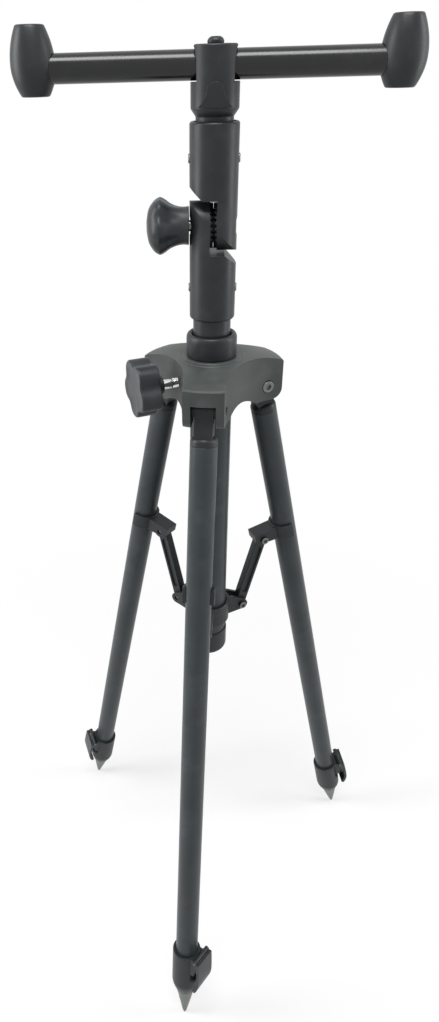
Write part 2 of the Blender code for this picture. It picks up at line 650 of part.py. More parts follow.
def build_spreader_collar():
    """Sliding collar on the guide tube with three pairs of ears, level with the pins at z = 0."""
    bore = GUIDE_R + RUNNING_GAP
    outer = bore + SPREADER_WALL
    low = -SPREADER_DROP
    ring = mesh_object("spreader", revolve([
        (bore, low), (outer - 0.8 * MM, low), (outer, low + 0.8 * MM),
        (outer, low + SPREADER_HEIGHT - 0.8 * MM), (outer - 0.8 * MM, low + SPREADER_HEIGHT),
        (bore, low + SPREADER_HEIGHT)], MOULDING_SIDES, closed=True))
    half = clip_half_width()
    gap = STRUT_WIDTH / 2.0 + EAR_SIDE_GAP
    ear = [(bore + 1.0 * MM, -7.5 * MM), (SPREADER_PIN_R - 2.0 * MM, -5.6 * MM)]
    ear += arc((SPREADER_PIN_R, 0.0), SPREADER_EAR_R, -70.0, 60.0, 6)
    ear += [(bore + 6.0 * MM, 12.0 * MM), (bore + 1.0 * MM, 12.0 * MM)]
    wall = outer + 0.6 * MM
    room = [(wall, -CUTTER_REACH), (CUTTER_REACH, -CUTTER_REACH), (CUTTER_REACH, CUTTER_REACH),
            (wall, CUTTER_REACH)]
    for azimuth in LEG_AZIMUTHS:
        unite(ring, turned(prism(ear, -half, half), turn_z(azimuth) @ along_y()))
    for azimuth in LEG_AZIMUTHS:
        cut(ring, turned(prism(room, -gap, gap), turn_z(azimuth) @ along_y()))
        cut(ring, turned(rod(LINK_BOLT_R + SEAT_GAP, -CUTTER_REACH, CUTTER_REACH),
                         turn_z(azimuth) @ shift(SPREADER_PIN_R) @ along_y()))
    cut(ring, rod(bore, -CUTTER_REACH, CUTTER_REACH, MOULDING_SIDES))
    return ring


# Centre column and toothed tilt joint

def build_column_tube():
    top = TILT_RISE - KNUCKLE_RISE + KNUCKLE_SOCKET - SEAT_GAP
    column = mesh_object("column", tube(COLUMN_R, COLUMN_R - COLUMN_WALL, top - COLUMN_LENGTH, top))
    pin_way = rod(CROSS_PIN_R + SEAT_GAP, -CUTTER_REACH, CUTTER_REACH)
    return cut(column, turned(pin_way, shift(z=TILT_RISE - KNUCKLE_PIN_RISE) @ along_x()))


def build_stop_bush():
    """Plug on which the column turns; its flange runs in the guide tube."""
    low = TILT_RISE - KNUCKLE_RISE + KNUCKLE_SOCKET - SEAT_GAP - COLUMN_LENGTH
    flange = low - SEAT_GAP
    spigot = COLUMN_R - COLUMN_WALL - SEAT_GAP
    bore = spigot - STOP_BUSH_WALL
    run = GUIDE_R - GUIDE_WALL - SEAT_GAP
    return mesh_object("bush", revolve([
        (bore, flange - STOP_BUSH_SKIRT), (run, flange - STOP_BUSH_SKIRT), (run, flange),
        (spigot, flange), (spigot, flange + STOP_BUSH_HEIGHT), (bore, flange + STOP_BUSH_HEIGHT)],
        TUBE_SIDES, closed=True))


def tooth_ring(height):
    """Face teeth round Z: radial ridges of triangular section standing on z = 0."""
    bm = bmesh.new()
    steps = TOOTH_COUNT * 2
    rings = []
    for radius, lift in ((TOOTH_ROOT_R, 0.0), (TOOTH_TIP_R, 0.0), (TOOTH_TIP_R, 1.0), (TOOTH_ROOT_R, 1.0)):
        ring = []
        for i in range(steps):
            angle = 2.0 * math.pi * i / steps
            crest = height if i % 2 == 0 else height * TOOTH_FOOT
            z = crest if lift else -EAR_FACE / 2.0
            ring.append(bm.verts.new((radius * math.cos(angle), radius * math.sin(angle), z)))
        rings.append(ring)
    for low, high in zip(rings, rings[1:] + rings[:1]):
        for i in range(steps):
            j = (i + 1) % steps
            bm.faces.new((low[i], low[j], high[j], high[i]))
    return bm


def tilt_head_seat():
    return KNUCKLE_R - TILT_HEAD_HEIGHT - TILT_HEAD_SINK


def build_knuckle():
    """One half of the tilt joint. The tilt axis is X through the origin, the barrel rises
    along +Z, and the ear with its face teeth is on the +X side."""
    bottom = -KNUCKLE_R - SHOULDER_GAP
    socket_low = KNUCKLE_RISE - KNUCKLE_SOCKET
    knuckle = mesh_object("knuckle", revolve([
        (0.0, bottom), (KNUCKLE_R, bottom), (KNUCKLE_R, KNUCKLE_RISE - KNUCKLE_CHAMFER),
        (KNUCKLE_R - 1.4 * MM, KNUCKLE_RISE), (0.0, KNUCKLE_RISE)], MOULDING_SIDES))
    shoulder = KNUCKLE_R + SHOULDER_GAP
    # Half lap: everything on the far side of the ear's face, under a bevelled shoulder
    far = CUTTER_REACH
    lap = [(EAR_FACE, -far), (EAR_FACE, shoulder), (-KNUCKLE_R + SHOULDER_SLOPE, shoulder),
           (-KNUCKLE_R - 1.0 * MM, shoulder + SHOULDER_SLOPE), (-far, shoulder + SHOULDER_SLOPE), (-far, -far)]
    cut(knuckle, turned(prism(lap, -far, far), along_y()))
    # Round end of the ear, about the tilt axis
    outside = [(-far, 0.0)] + arc((0.0, 0.0), EAR_R, 180.0, 360.0, MOULDING_SIDES)
    outside += [(far, 0.0), (far, -far), (-far, -far)]
    ear_end = turned(prism(outside, -far, far), along_y())
    cut(knuckle, turned(ear_end, turn_z(90.0)))
    toothing = turned(tooth_ring(EAR_FACE - SEAT_GAP / 2.0), shift(EAR_FACE) @ turn_y(math.radians(-90.0)))
    unite(knuckle, toothing)
    cut(knuckle, turned(rod(TILT_BOLT_R + SEAT_GAP, -far, far, BORE_SIDES), along_x()))
    cut(knuckle, turned(rod(TILT_HEAD_R + RUNNING_GAP, tilt_head_seat(), far, BORE_SIDES), along_x()))
    cut(knuckle, rod(COLUMN_R + SEAT_GAP, socket_low, KNUCKLE_RISE + far, TUBE_SIDES))
    pin_way = rod(CROSS_PIN_R + SEAT_GAP, -far, far)
    return cut(knuckle, turned(pin_way, shift(z=KNUCKLE_PIN_RISE) @ along_x()))


def build_cross_pin():
    reach = KNUCKLE_R + CROSS_PIN_PROUD
    return mesh_object("pin", revolve([
        (0.0, -reach), (CROSS_PIN_R - 0.8 * MM, -reach), (CROSS_PIN_R, -reach + 0.8 * MM),
        (CROSS_PIN_R, reach - 0.8 * MM), (CROSS_PIN_R - 0.8 * MM, reach), (0.0, reach)]))


def build_tilt_bolt():
    """Socket-head bolt along X, its head sunk in the upper ear, its thread in the knob."""
    seat = tilt_head_seat() + SEAT_GAP
    length = seat + KNUCKLE_R + TILT_KNOB_GAP + KNOB_INSERT_LENGTH
    bolt = socket_bolt(TILT_BOLT_R, TILT_HEAD_R, TILT_HEAD_HEIGHT, length, BORE_SIDES)
    bolt.data.transform(along_x() @ shift(z=seat))
    return bolt


def tilt_knob_profile():
    """Bell outline of the tilt knob: radius, and distance from its neck face."""
    neck = TILT_KNOB_NECK_R
    full = TILT_KNOB_R
    length = TILT_KNOB_LENGTH
    return [(neck, 0.0), (neck - 0.3 * MM, 0.10 * length), (neck + 0.5 * MM, 0.26 * length),
            (neck + 0.35 * (full - neck), 0.42 * length), (neck + 0.78 * (full - neck), 0.56 * length),
            (full, 0.65 * length), (0.97 * full, 0.72 * length), (0.84 * full, 0.83 * length),
            (0.58 * full, 0.94 * length), (0.26 * full, 0.99 * length), (0.0, length)]


def build_tilt_knob():
    def lobes(angle, index):
        depth = (0.0, 0.0, 0.02, 0.06, 0.09, 0.10, 0.10, 0.09, 0.06, 0.02, 0.0)[index - 1]
        return 1.0 - depth * (0.5 + 0.5 * math.cos(TILT_KNOB_LOBES * angle))
    profile = [(0.0, 0.0)] + tilt_knob_profile()
    knob = mesh_object("knob", revolve(profile, TILT_KNOB_LOBES * 5, lobes))
    pocket = rod(KNOB_INSERT_R + SEAT_GAP, -CUTTER_REACH, KNOB_INSERT_LENGTH + SEAT_GAP, BORE_SIDES)
    return cut(knob, pocket)


def build_knob_insert():
    return mesh_object("insert", tube(KNOB_INSERT_R, TILT_BOLT_R + SEAT_GAP, 0.0,
                                      KNOB_INSERT_LENGTH, BORE_SIDES))


def build_hub_knob():
    """Star knob with flat-ended lobes. Z runs from the hub outward, 0 at the neck's end."""
    def lobes(angle, index):
        if index not in (3, 4, 5, 6):
            return 1.0
        wave = 0.5 + 0.5 * math.cos(HUB_KNOB_LOBES * angle)
        return 1.0 - 0.20 * (1.0 - wave) ** 1.6
    face = HUB_KNOB_NECK + HUB_KNOB_THICKNESS
    rim = HUB_KNOB_R
    knob = mesh_object("knob", revolve([
        (0.0, 0.0), (HUB_KNOB_NECK_R, 0.0), (HUB_KNOB_NECK_R + 0.8 * MM, HUB_KNOB_NECK),
        (rim - 1.0 * MM, HUB_KNOB_NECK), (rim, HUB_KNOB_NECK + 1.0 * MM), (rim, face - 1.4 * MM),
        (rim - 1.6 * MM, face), (0.0, face)], HUB_KNOB_LOBES * 8, lobes))
    return cut(knob, rod(STUD_R + SEAT_GAP, -CUTTER_REACH, HUB_KNOB_NECK + STUD_IN_KNOB))


# Crossbar

def build_crossbar_head():
    """Turned head: spigot in the upper knuckle, flared block, waist and rim. z = 0 is the bar."""
    knuckle_top = TILT_RISE + KNUCKLE_RISE - BAR_RISE
    neck_low = knuckle_top - 2.0 * MM
    spigot_low = knuckle_top - KNUCKLE_SOCKET + SEAT_GAP
    head = mesh_object("head", revolve([
        (0.0, spigot_low), (COLUMN_R - 0.8 * MM, spigot_low), (COLUMN_R, spigot_low + 0.8 * MM),
        (COLUMN_R, neck_low), (HEAD_NECK_R, neck_low + 0.5 * MM), (HEAD_NECK_R, knuckle_top + 3.0 * MM),
        (HEAD_BLOCK_R - 0.6 * MM, knuckle_top + 7.0 * MM), (HEAD_BLOCK_R, knuckle_top + 8.2 * MM),
        (HEAD_BLOCK_R, -9.6 * MM), (HEAD_BLOCK_R - 0.8 * MM, -8.6 * MM),
        (HEAD_WAIST_R + 0.4 * MM, -5.0 * MM), (HEAD_WAIST_R, -2.0 * MM), (HEAD_WAIST_R, 3.0 * MM),
        (HEAD_RIM_R - 0.4 * MM, HEAD_CAP_RISE - 3.0 * MM), (HEAD_RIM_R, HEAD_CAP_RISE - 2.0 * MM),
        (HEAD_RIM_R - 1.2 * MM, HEAD_CAP_RISE), (0.0, HEAD_CAP_RISE)], MOULDING_SIDES))
    rib = [(-HEAD_RIB_R, knuckle_top + 9.0 * MM)]
    rib += [(HEAD_RIB_R, knuckle_top + 9.0 * MM)]
    rib += arc((0.0, -9.0 * MM - HEAD_RIB_R), HEAD_RIB_R, 0.0, 180.0, 10)
    unite(head, turned(prism(rib, HEAD_BLOCK_R / 2.0, HEAD_BLOCK_R + HEAD_RIB_PROUD), along_y()))
    cut(head, turned(rod(BAR_R + SEAT_GAP, -CUTTER_REACH, CUTTER_REACH, TUBE_SIDES), along_x()))
    cut(head, rod(CAP_SCREW_R + SEAT_GAP, 0.0, CUTTER_REACH))
    pin_way = turned(rod(CROSS_PIN_R + SEAT_GAP, -CUTTER_REACH, CUTTER_REACH), along_x())
    return cut(head, turned(pin_way, shift(z=TILT_RISE + KNUCKLE_PIN_RISE - BAR_RISE)))


def build_cap_screw():
    """Domed screw that goes down through the head and into the crossbar."""
    seat = HEAD_CAP_RISE + SEAT_GAP
    top = seat + CAP_PLUG_HEIGHT
    tip = BAR_R - BAR_WALL - CAP_SCREW_THROUGH
    return mesh_object("screw", revolve([
        (0.0, tip), (CAP_SCREW_R, tip),
        (CAP_SCREW_R, seat), (CAP_PLUG_R, seat), (CAP_PLUG_R, seat + 1.4 * MM),
        (CAP_PLUG_R - 1.6 * MM, top - 0.9 * MM), (CAP_PLUG_R - 3.6 * MM, top), (0.0, top)], BORE_SIDES))


def build_crossbar_tube():
    half = BAR_HALF_SPAN - BAR_IN_END
    bar = mesh_object("bar", turned(tube(BAR_R, BAR_R - BAR_WALL, -half, half), along_x()))
    return cut(bar, rod(CAP_SCREW_R + SEAT_GAP, 0.0, CUTTER_REACH))


def build_bar_end(side):
    """Barrel-shaped end, side +1 right or -1 left, with a pocket above for the threaded insert."""
    points = []
    steps = 7
    for i in range(steps + 1):
        z = -END_DOWN + (END_UP + END_DOWN) * i / steps
        reach = END_UP - END_MID_RISE if z > END_MID_RISE else END_DOWN + END_MID_RISE
        points.append((END_MID_R - (END_MID_R - END_FACE_R) * ((z - END_MID_RISE) / reach) ** 2, z))
    barrel = mesh_object("barrel", revolve([(0.0, -END_DOWN)] + points + [(0.0, END_UP)], MOULDING_SIDES))
    low = -CUTTER_REACH if side > 0 else BAR_IN_END - SEAT_GAP
    high = -BAR_IN_END + SEAT_GAP if side > 0 else CUTTER_REACH
    cut(barrel, turned(rod(BAR_R + SEAT_GAP, low, high, TUBE_SIDES), along_x()))
    pocket_floor = END_UP - INSERT_LENGTH - SEAT_GAP
    return cut(barrel, rod(INSERT_R + SEAT_GAP, pocket_floor, CUTTER_REACH, BORE_SIDES))


def build_socket_insert():
    top = END_UP
    low = top - INSERT_LENGTH
    return mesh_object("insert", revolve([
        (SOCKET_R, low), (INSERT_R, low), (INSERT_R, top - 0.4 * MM), (INSERT_R - 0.4 * MM, top),
        (SOCKET_R + 0.7 * MM, top), (SOCKET_R, top - 0.7 * MM)], BORE_SIDES, closed=True))


def finishes():
    return {
        "plastic": make_finish("moulded_black_plastic", (0.055, 0.06, 0.06), 0.55),
        "hub": make_finish("hub_grey_black", (0.09, 0.10, 0.095), 0.5),
        "leg": make_finish("leg_anodised_grey", (0.085, 0.10, 0.105), 0.35, 0.6),
        "inner": make_finish("inner_leg_alloy", (0.11, 0.12, 0.12), 0.35, 0.7),
        "bar": make_finish("gloss_black_anodised", (0.012, 0.012, 0.013), 0.18, 0.5),
        "steel": make_finish("dark_nickel_steel", (0.30, 0.30, 0.29), 0.35, 1.0),
        "chrome": make_finish("bright_chrome", (0.75, 0.75, 0.74), 0.12, 1.0),
        "brass": make_finish("turned_brass", (0.55, 0.42, 0.2), 0.35, 1.0),
        "nylon": make_finish("white_nylon", (0.6, 0.6, 0.58), 0.5),
    }


def build_pivot_bolt():
    """Bolt across one clevis: its head is sunk in the near cheek, its thread is in the far one."""
    half = arm_half_width()
    length = 2.0 * half - HEAD_RECESS - BOLT_END_SINK
    bolt = socket_bolt(PIVOT_BOLT_R, PIVOT_HEAD_R, PIVOT_HEAD_HEIGHT, length)
    bolt.data.transform(along_y() @ shift(z=half - HEAD_RECESS + SEAT_GAP))
    return bolt


def build_link_bolt():
    """Bolt across a pair of ears, which the strut turns on."""
    length = 2.0 * clip_half_width() - BOLT_END_SINK
    bolt = socket_bolt(LINK_BOLT_R, LINK_HEAD_R, LINK_HEAD_HEIGHT, length)
    bolt.data.transform(along_y() @ shift(z=clip_half_width() + SEAT_GAP))
    return bolt


def leg_frame(azimuth):
    return turn_z(azimuth) @ shift(PIVOT_RADIUS) @ turn_y(-LEG_ANGLE)


def build_leg(index, azimuth, hub, look):
    """One leg with its clip, lock, telescoping inner leg and strut."""
    leg = empty(f"leg_{index}", hub, leg_frame(azimuth))
    dress(build_leg_top_fitting(), leg, look["plastic"], name=f"leg_{index}_top_fitting")
    dress(build_leg_tube(), leg, look["leg"], name=f"leg_{index}_tube")
    dress(build_leg_clip(), leg, look["plastic"], name=f"leg_{index}_clip")
    bolt_seat = shift(-CLIP_IN, 0.0, -CLIP_DOWN)
    dress(build_link_bolt(), leg, look["steel"], bolt_seat, f"leg_{index}_clip_bolt")

    inner = empty(f"inner_{index}", leg)
    dress(build_inner_leg(), inner, look["inner"], name=f"inner_leg_{index}")
    dress(build_foot_spike(), inner, look["steel"], name=f"foot_spike_{index}")

    lock = empty(f"lock_{index}", leg, turn_z(LOCK_TURNS[index - 1]))
    dress(build_lock_collar(), lock, look["plastic"], name=f"lock_collar_{index}")
    pin_place = shift(LOCK_PIN_REACH, 0.0, -LOCK_TOP - LOCK_PIN_DROP)
    pin_half = LOCK_LUG_WIDTH / 2.0 + SEAT_GAP + LEVER_CHEEK
    pin = mesh_object("pin", turned(rod(LOCK_PIN_R, -pin_half, pin_half), along_y()))
    dress(pin, lock, look["steel"], pin_place, f"lock_pin_{index}")
    lever = empty(f"lever_{index}", lock, pin_place)
    dress(build_lock_lever(), lever, look["plastic"], name=f"lock_lever_{index}")

    radius, height = clip_pin(LEG_ANGLE)
    strut_place = turn_z(azimuth) @ shift(radius, 0.0, height - HUB_Z) @ turn_y(strut_angle(LEG_ANGLE))
    strut = empty(f"strut_pivot_{index}", hub, strut_place)
    dress(build_strut(), strut, look["plastic"], name=f"strut_{index}")


def build_column(hub, look):
    foot = empty("column_foot", hub, Matrix.Rotation(HEAD_TURN, 4, "Z"))
    dress(build_stop_bush(), foot, look["nylon"], name="column_stop_bush")
    column = empty("column", foot)
    dress(build_column_tube(), column, look["leg"], name="column_tube")
    tilt = empty("tilt", column, shift(z=TILT_RISE))
    flipped = turn_y(math.pi)
    dress(build_knuckle(), tilt, look["plastic"], flipped, "lower_knuckle")
    dress(build_cross_pin(), tilt, look["steel"], shift(z=-KNUCKLE_PIN_RISE) @ along_x(), "lower_cross_pin")

    knob = empty("tilt_knob_axis", tilt, shift(-KNUCKLE_R - TILT_KNOB_GAP) @ turn_y(math.radians(-90.0)))
    dress(build_tilt_knob(), knob, look["plastic"], name="tilt_knob")
    dress(build_knob_insert(), knob, look["brass"], name="tilt_knob_insert")

    head = empty("head", tilt)
    dress(build_knuckle(), head, look["plastic"], name="upper_knuckle")
    dress(build_cross_pin(), head, look["steel"], shift(z=KNUCKLE_PIN_RISE) @ along_x(), "upper_cross_pin")
    dress(build_tilt_bolt(), head, look["steel"], name="tilt_bolt")

    bar = empty("bar", head, shift(z=BAR_RISE - TILT_RISE))
    dress(build_crossbar_head(), bar, look["plastic"], name="crossbar_head")
    dress(build_cap_screw(), bar, look["plastic"], name="crossbar_screw")
    dress(build_crossbar_tube(), bar, look["bar"], name="crossbar_tube")
    for name, side in (("left", -1), ("right", 1)):
        place = shift(side * BAR_HALF_SPAN)
        dress(build_bar_end(side), bar, look["plastic"], place, f"bar_end_{name}")
        dress(build_socket_insert(), bar, look["brass"], place, f"socket_insert_{name}")


def build_hub(hub, look):
    dress(build_hub_casting(), hub, look["hub"], name="hub_casting")
    dress(build_guide_tube(), hub, look["leg"], name="guide_tube")
    dress(build_guide_collar(), hub, look["plastic"], name="guide_collar")
    dress(build_guide_end_cap(), hub, look["plastic"], name="guide_end_cap")
    for index, azimuth in enumerate(LEG_AZIMUTHS, start=1):
        pivot = turn_z(azimuth) @ shift(PIVOT_RADIUS)
        dress(build_pivot_bolt(), hub, look["steel"], pivot, f"leg_pivot_bolt_{index}")

    stud_frame = turn_z(HUB_KNOB_AZIMUTH) @ shift(z=STUD_RISE) @ along_x()
    pad_inner = COLUMN_R + SEAT_GAP
    pad = mesh_object("pad", rod(PAD_R, pad_inner, GUIDE_R - SEAT_GAP))
    dress(pad, hub, look["nylon"], stud_frame, "clamp_pad")

    knob = empty("hub_knob_axis", hub, stud_frame)
    neck = HUB_KNOB_DISTANCE - HUB_KNOB_THICKNESS / 2.0 - HUB_KNOB_NECK
    dress(build_hub_knob(), knob, look["plastic"], shift(z=neck), "hub_knob")
    stud_end = neck + HUB_KNOB_NECK + STUD_IN_KNOB - SEAT_GAP
    stud = mesh_object("stud", rod(STUD_R, GUIDE_R, stud_end))
    dress(stud, knob, look["chrome"], name="hub_knob_stud")

    spreader = empty("spreader", hub, shift(z=spreader_height(LEG_ANGLE) - HUB_Z))
    dress(build_spreader_collar(), spreader, look["plastic"], name="spreader_collar")
    for index, azimuth in enumerate(LEG_AZIMUTHS, start=1):
        seat = turn_z(azimuth) @ shift(SPREADER_PIN_R)
        dress(build_link_bolt(), spreader, look["steel"], seat, f"spreader_bolt_{index}")


def world_box():
    bpy.context.view_layer.update()
    points = [obj.matrix_world @ v.co for obj in bpy.data.objects if obj.type == "MESH"
              for v in obj.data.vertices]
    low = Vector([min(p[i] for p in points) for i in range(3)])
    high = Vector([max(p[i] for p in points) for i in range(3)])
    return low, high


def report_joints():
    """Print the numbers that a reader needs to set up the joints."""
    bpy.context.view_layer.update()
    for name in ("leg_1", "leg_2", "leg_3", "strut_pivot_1", "strut_pivot_2", "strut_pivot_3",
                 "lever_1", "lever_2", "lever_3", "spreader", "tilt", "hub_knob_axis", "bar"):
        matrix = bpy.data.objects[name].matrix_world
        place = [round(v, 6) for v in matrix.translation]
        axes = [[round(v, 6) for v in matrix.to_3x3().col[i]] for i in range(3)]
        print("frame", name, place, axes)
    fold = LEG_ANGLE - FOLDED_ANGLE
    strut_turn = strut_angle(FOLDED_ANGLE) - strut_angle(LEG_ANGLE) - fold
    collar_move = spreader_height(FOLDED_ANGLE) - spreader_height(LEG_ANGLE)
    print("fold", math.degrees(fold), "strut ratio", strut_turn / fold, "collar ratio", collar_move / fold)


def main():
    clear_scene()
    look = finishes()
    root = empty("tripod")
    hub = empty("hub", root, shift(z=HUB_Z))
    build_hub(hub, look)
    for index, azimuth in enumerate(LEG_AZIMUTHS, start=1):
        build_leg(index, azimuth, hub, look)
    build_column(hub, look)
    low, high = world_box()
    root.location = (-(low.x + high.x) / 2.0, -(low.y + high.y) / 2.0, -low.z)
    low, high = world_box()
    print("box", [round(v, 6) for v in low], [round(v, 6) for v in high])
    print("column axis", [round(v, 6) for v in root.location])
    report_joints()


main()
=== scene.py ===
# %% [markdown]
# This notebook dresses a rod tripod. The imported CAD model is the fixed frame: it says where
# every joint and piece lies. Each cell makes one piece or one finish of the real object.
# Shapes are modelled in millimetres. The builders turn them into Blender's metres.

# %% Load the frame
import json
import math

import bmesh
import bpy
from mathutils import Matrix, Vector


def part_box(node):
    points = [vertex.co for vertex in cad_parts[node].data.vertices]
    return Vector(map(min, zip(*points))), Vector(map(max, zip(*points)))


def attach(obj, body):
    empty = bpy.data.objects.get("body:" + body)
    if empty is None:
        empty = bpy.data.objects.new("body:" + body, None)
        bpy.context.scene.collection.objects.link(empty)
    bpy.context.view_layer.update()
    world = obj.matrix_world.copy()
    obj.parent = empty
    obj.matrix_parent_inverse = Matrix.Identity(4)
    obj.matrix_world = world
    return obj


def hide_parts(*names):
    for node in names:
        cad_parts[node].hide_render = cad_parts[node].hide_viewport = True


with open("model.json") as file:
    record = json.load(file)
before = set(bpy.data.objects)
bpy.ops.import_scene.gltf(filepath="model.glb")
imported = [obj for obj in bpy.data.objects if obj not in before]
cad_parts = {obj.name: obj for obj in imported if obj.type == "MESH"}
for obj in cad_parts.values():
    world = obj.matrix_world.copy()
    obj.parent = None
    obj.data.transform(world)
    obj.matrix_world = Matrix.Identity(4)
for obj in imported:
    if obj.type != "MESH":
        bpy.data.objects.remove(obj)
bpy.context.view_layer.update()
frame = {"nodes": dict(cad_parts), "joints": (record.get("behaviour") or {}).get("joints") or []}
MM = 0.001

# %% [markdown]
# Every moving group of the tripod has a frame of its own: an origin on its joint and three
# axes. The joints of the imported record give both, so no place is typed in by hand. A piece is
# then modelled round the origin, as on a bench, and put in place by its group's matrix.

# %% Frames of the moving groups
joints = {joint["name"]: joint for joint in frame["joints"]}


def frame_of(place, x, y, z):
    matrix = Matrix((x, y, z)).transposed().to_4x4()
    matrix.translation = Vector(place)
    return matrix


def joint_place(name):
    return Vector(joints[name]["pos_m"])


def joint_axis(name):
    return Vector(joints[name]["axis"]).normalized()


column_at = joint_place("column_turn")
hub_frame = Matrix.Translation((column_at.x, column_at.y, joint_place("leg_1_fold").z))


def leg_frame(number):
    fold = joint_axis(f"leg_{number}_fold")
    up = -joint_axis(f"inner_leg_{number}_slide")
    return frame_of(joint_place(f"leg_{number}_fold"), fold.cross(up), fold, up)


def lock_frame(number):
    along_pin = -joint_axis(f"lock_lever_{number}_flip")
    up = -joint_axis(f"inner_leg_{number}_slide")
    return frame_of(joint_place(f"leg_{number}_fold"), along_pin.cross(up), along_pin, up)


def lever_frame(number):
    place = lock_frame(number)
    place.translation = joint_place(f"lock_lever_{number}_flip")
    return place


tilt_axis = joint_axis("crossbar_tilt")
tilt_frame = frame_of(joint_place("crossbar_tilt"), tilt_axis, Vector((0, 0, 1)).cross(tilt_axis), (0, 0, 1))
bar_low, bar_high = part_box("crossbar_tube")
bar_frame = tilt_frame.copy()
bar_frame.translation.z = (bar_low.z + bar_high.z) / 2.0
print("tilt axis", [round(v, 3) for v in tilt_axis], "bar height", round(bar_frame.translation.z, 4))

# %% [markdown]
# Most pieces of a tripod are turned or moulded from simple sections: a profile swung about an
# axis, or an outline pushed along one. Two small builders cover them: `revolve` swings
# (radius, height) points about Z, and `prism` extrudes an (x, y) outline along Z. `arc` gives
# the points of a round stretch. Holes and slots are cut afterwards, as a mill would.

# %% Builders for turned and extruded shapes
ROUND = 64
SMALL_ROUND = 32
SHARP_FROM = 38.0
SEAT = 0.3
FAR = 90.0
LEGS = (1, 2, 3)


def revolve(profile, sides=ROUND, scale=None, closed=False):
    bm = bmesh.new()
    rings = []
    for radius, z in profile:
        if radius == 0.0:
            rings.append([bm.verts.new((0.0, 0.0, z * MM))])
            continue
        ring = []
        for side in range(sides):
            angle = 2.0 * math.pi * side / sides
            reach = radius * (scale(angle, z) if scale else 1.0) * MM
            ring.append(bm.verts.new((reach * math.cos(angle), reach * math.sin(angle), z * MM)))
        rings.append(ring)
    pairs = list(zip(rings, rings[1:]))
    if closed:
        pairs.append((rings[-1], rings[0]))
    for low, high in pairs:
        for side in range(sides):
            after = (side + 1) % sides
            corners = [low[side % len(low)], low[after % len(low)],
                       high[after % len(high)], high[side % len(high)]]
            unique = [v for i, v in enumerate(corners) if v not in corners[:i]]
            if len(unique) > 2:
                bm.faces.new(unique)
    return bm


def ring_shape(outer, inner, low, high, sides=ROUND, edge=0.3):
    """A tube with its four rims just broken."""
    return revolve([(outer - edge, low), (outer, low + edge), (outer, high - edge), (outer - edge, high),
                    (inner + edge, high), (inner, high - edge), (inner, low + edge), (inner + edge, low)],
                   sides, closed=True)


def rod(radius, low, high, sides=SMALL_ROUND):
    return revolve([(0.0, low), (radius, low), (radius, high), (0.0, high)], sides)


def prism(outline, low, high):
    bm = bmesh.new()
    bottom = [bm.verts.new((x * MM, y * MM, low * MM)) for x, y in outline]
    top = [bm.verts.new((x * MM, y * MM, high * MM)) for x, y in outline]
    bm.faces.new(bottom)
    bm.faces.new(list(reversed(top)))
    for i in range(len(outline)):
        j = (i + 1) % len(outline)
        bm.faces.new((bottom[i], bottom[j], top[j], top[i]))
    return bm


def rectangle(left, low, right, high):
    return [(left, low), (right, low), (right, high), (left, high)]


def mirrored(points):
    return [(-x, y) for x, y in reversed(points)]


def arc(center, radius, start, end, steps):
    angles = [math.radians(start + (end - start) * i / steps) for i in range(steps + 1)]
    return [(center[0] + radius * math.cos(a), center[1] + radius * math.sin(a)) for a in angles]


def smooth_profile(points, steps=6):
    """A Catmull-Rom curve through a few profile points, for bells and barrels."""
    padded = [points[0]] + list(points) + [points[-1]]
    result = []
    for p0, p1, p2, p3 in zip(padded, padded[1:], padded[2:], padded[3:]):
        for i in range(steps):
            t = i / steps
            result.append(tuple(0.5 * (2 * b + (c - a) * t + (2 * a - 5 * b + 4 * c - d) * t * t
                                       + (3 * b - a - 3 * c + d) * t ** 3)
                                for a, b, c, d in zip(p0, p1, p2, p3)))
    return result + [points[-1]]


def shift(x=0.0, y=0.0, z=0.0):
    return Matrix.Translation((x * MM, y * MM, z * MM))


def turn(degrees, axis):
    return Matrix.Rotation(math.radians(degrees), 4, axis)


ALONG_X = turn(90.0, "Y")
ALONG_Y = turn(90.0, "X")


def turned(bm, matrix):
    bm.transform(matrix)
    return bm


def slab(outline, half, matrix=Matrix()):
    """A plate in the XZ plane, centred on y = 0, then moved by the matrix."""
    return turned(prism(outline, -half, half), matrix @ ALONG_Y)


def drill(radius, matrix=Matrix()):
    """A long rod, to cut a through hole along the matrix's Z axis."""
    return turned(rod(radius, -FAR, FAR), matrix)


# %% [markdown]
# A moulded or machined part never has a knife edge. Each shape is cut with Booleans, then a
# narrow bevel rounds its edges and weighted normals keep the flat faces flat. The result is
# stored as plain mesh data, so that three equal pieces can share it.

# %% Cutting, rounding and placing
def as_object(bm, name="shape"):
    bmesh.ops.remove_doubles(bm, verts=bm.verts, dist=1e-7)
    bmesh.ops.recalc_face_normals(bm, faces=bm.faces)
    mesh = bpy.data.meshes.new(name)
    bm.to_mesh(mesh)
    bm.free()
    obj = bpy.data.objects.new(name, mesh)
    bpy.context.scene.collection.objects.link(obj)
    return obj


def bake_modifiers(obj):
    bpy.context.view_layer.update()
    graph = bpy.context.evaluated_depsgraph_get()
    result = bpy.data.meshes.new_from_object(obj.evaluated_get(graph))
    obj.modifiers.clear()
    obj.data = result
    return obj


def combine(target, operation, shapes):
    for shape in shapes:
        tool = as_object(shape, "tool")
        step = target.modifiers.new(operation, "BOOLEAN")
        step.operation = operation
        step.solver = "EXACT"
        step.object = tool
        bake_modifiers(target)
        bpy.data.objects.remove(tool, do_unlink=True)
    return target


def cut(target, *shapes):
    return combine(target, "DIFFERENCE", shapes)


def unite(target, *shapes):
    return combine(target, "UNION", shapes)


def keep(target, *shapes):
    return combine(target, "INTERSECT", shapes)


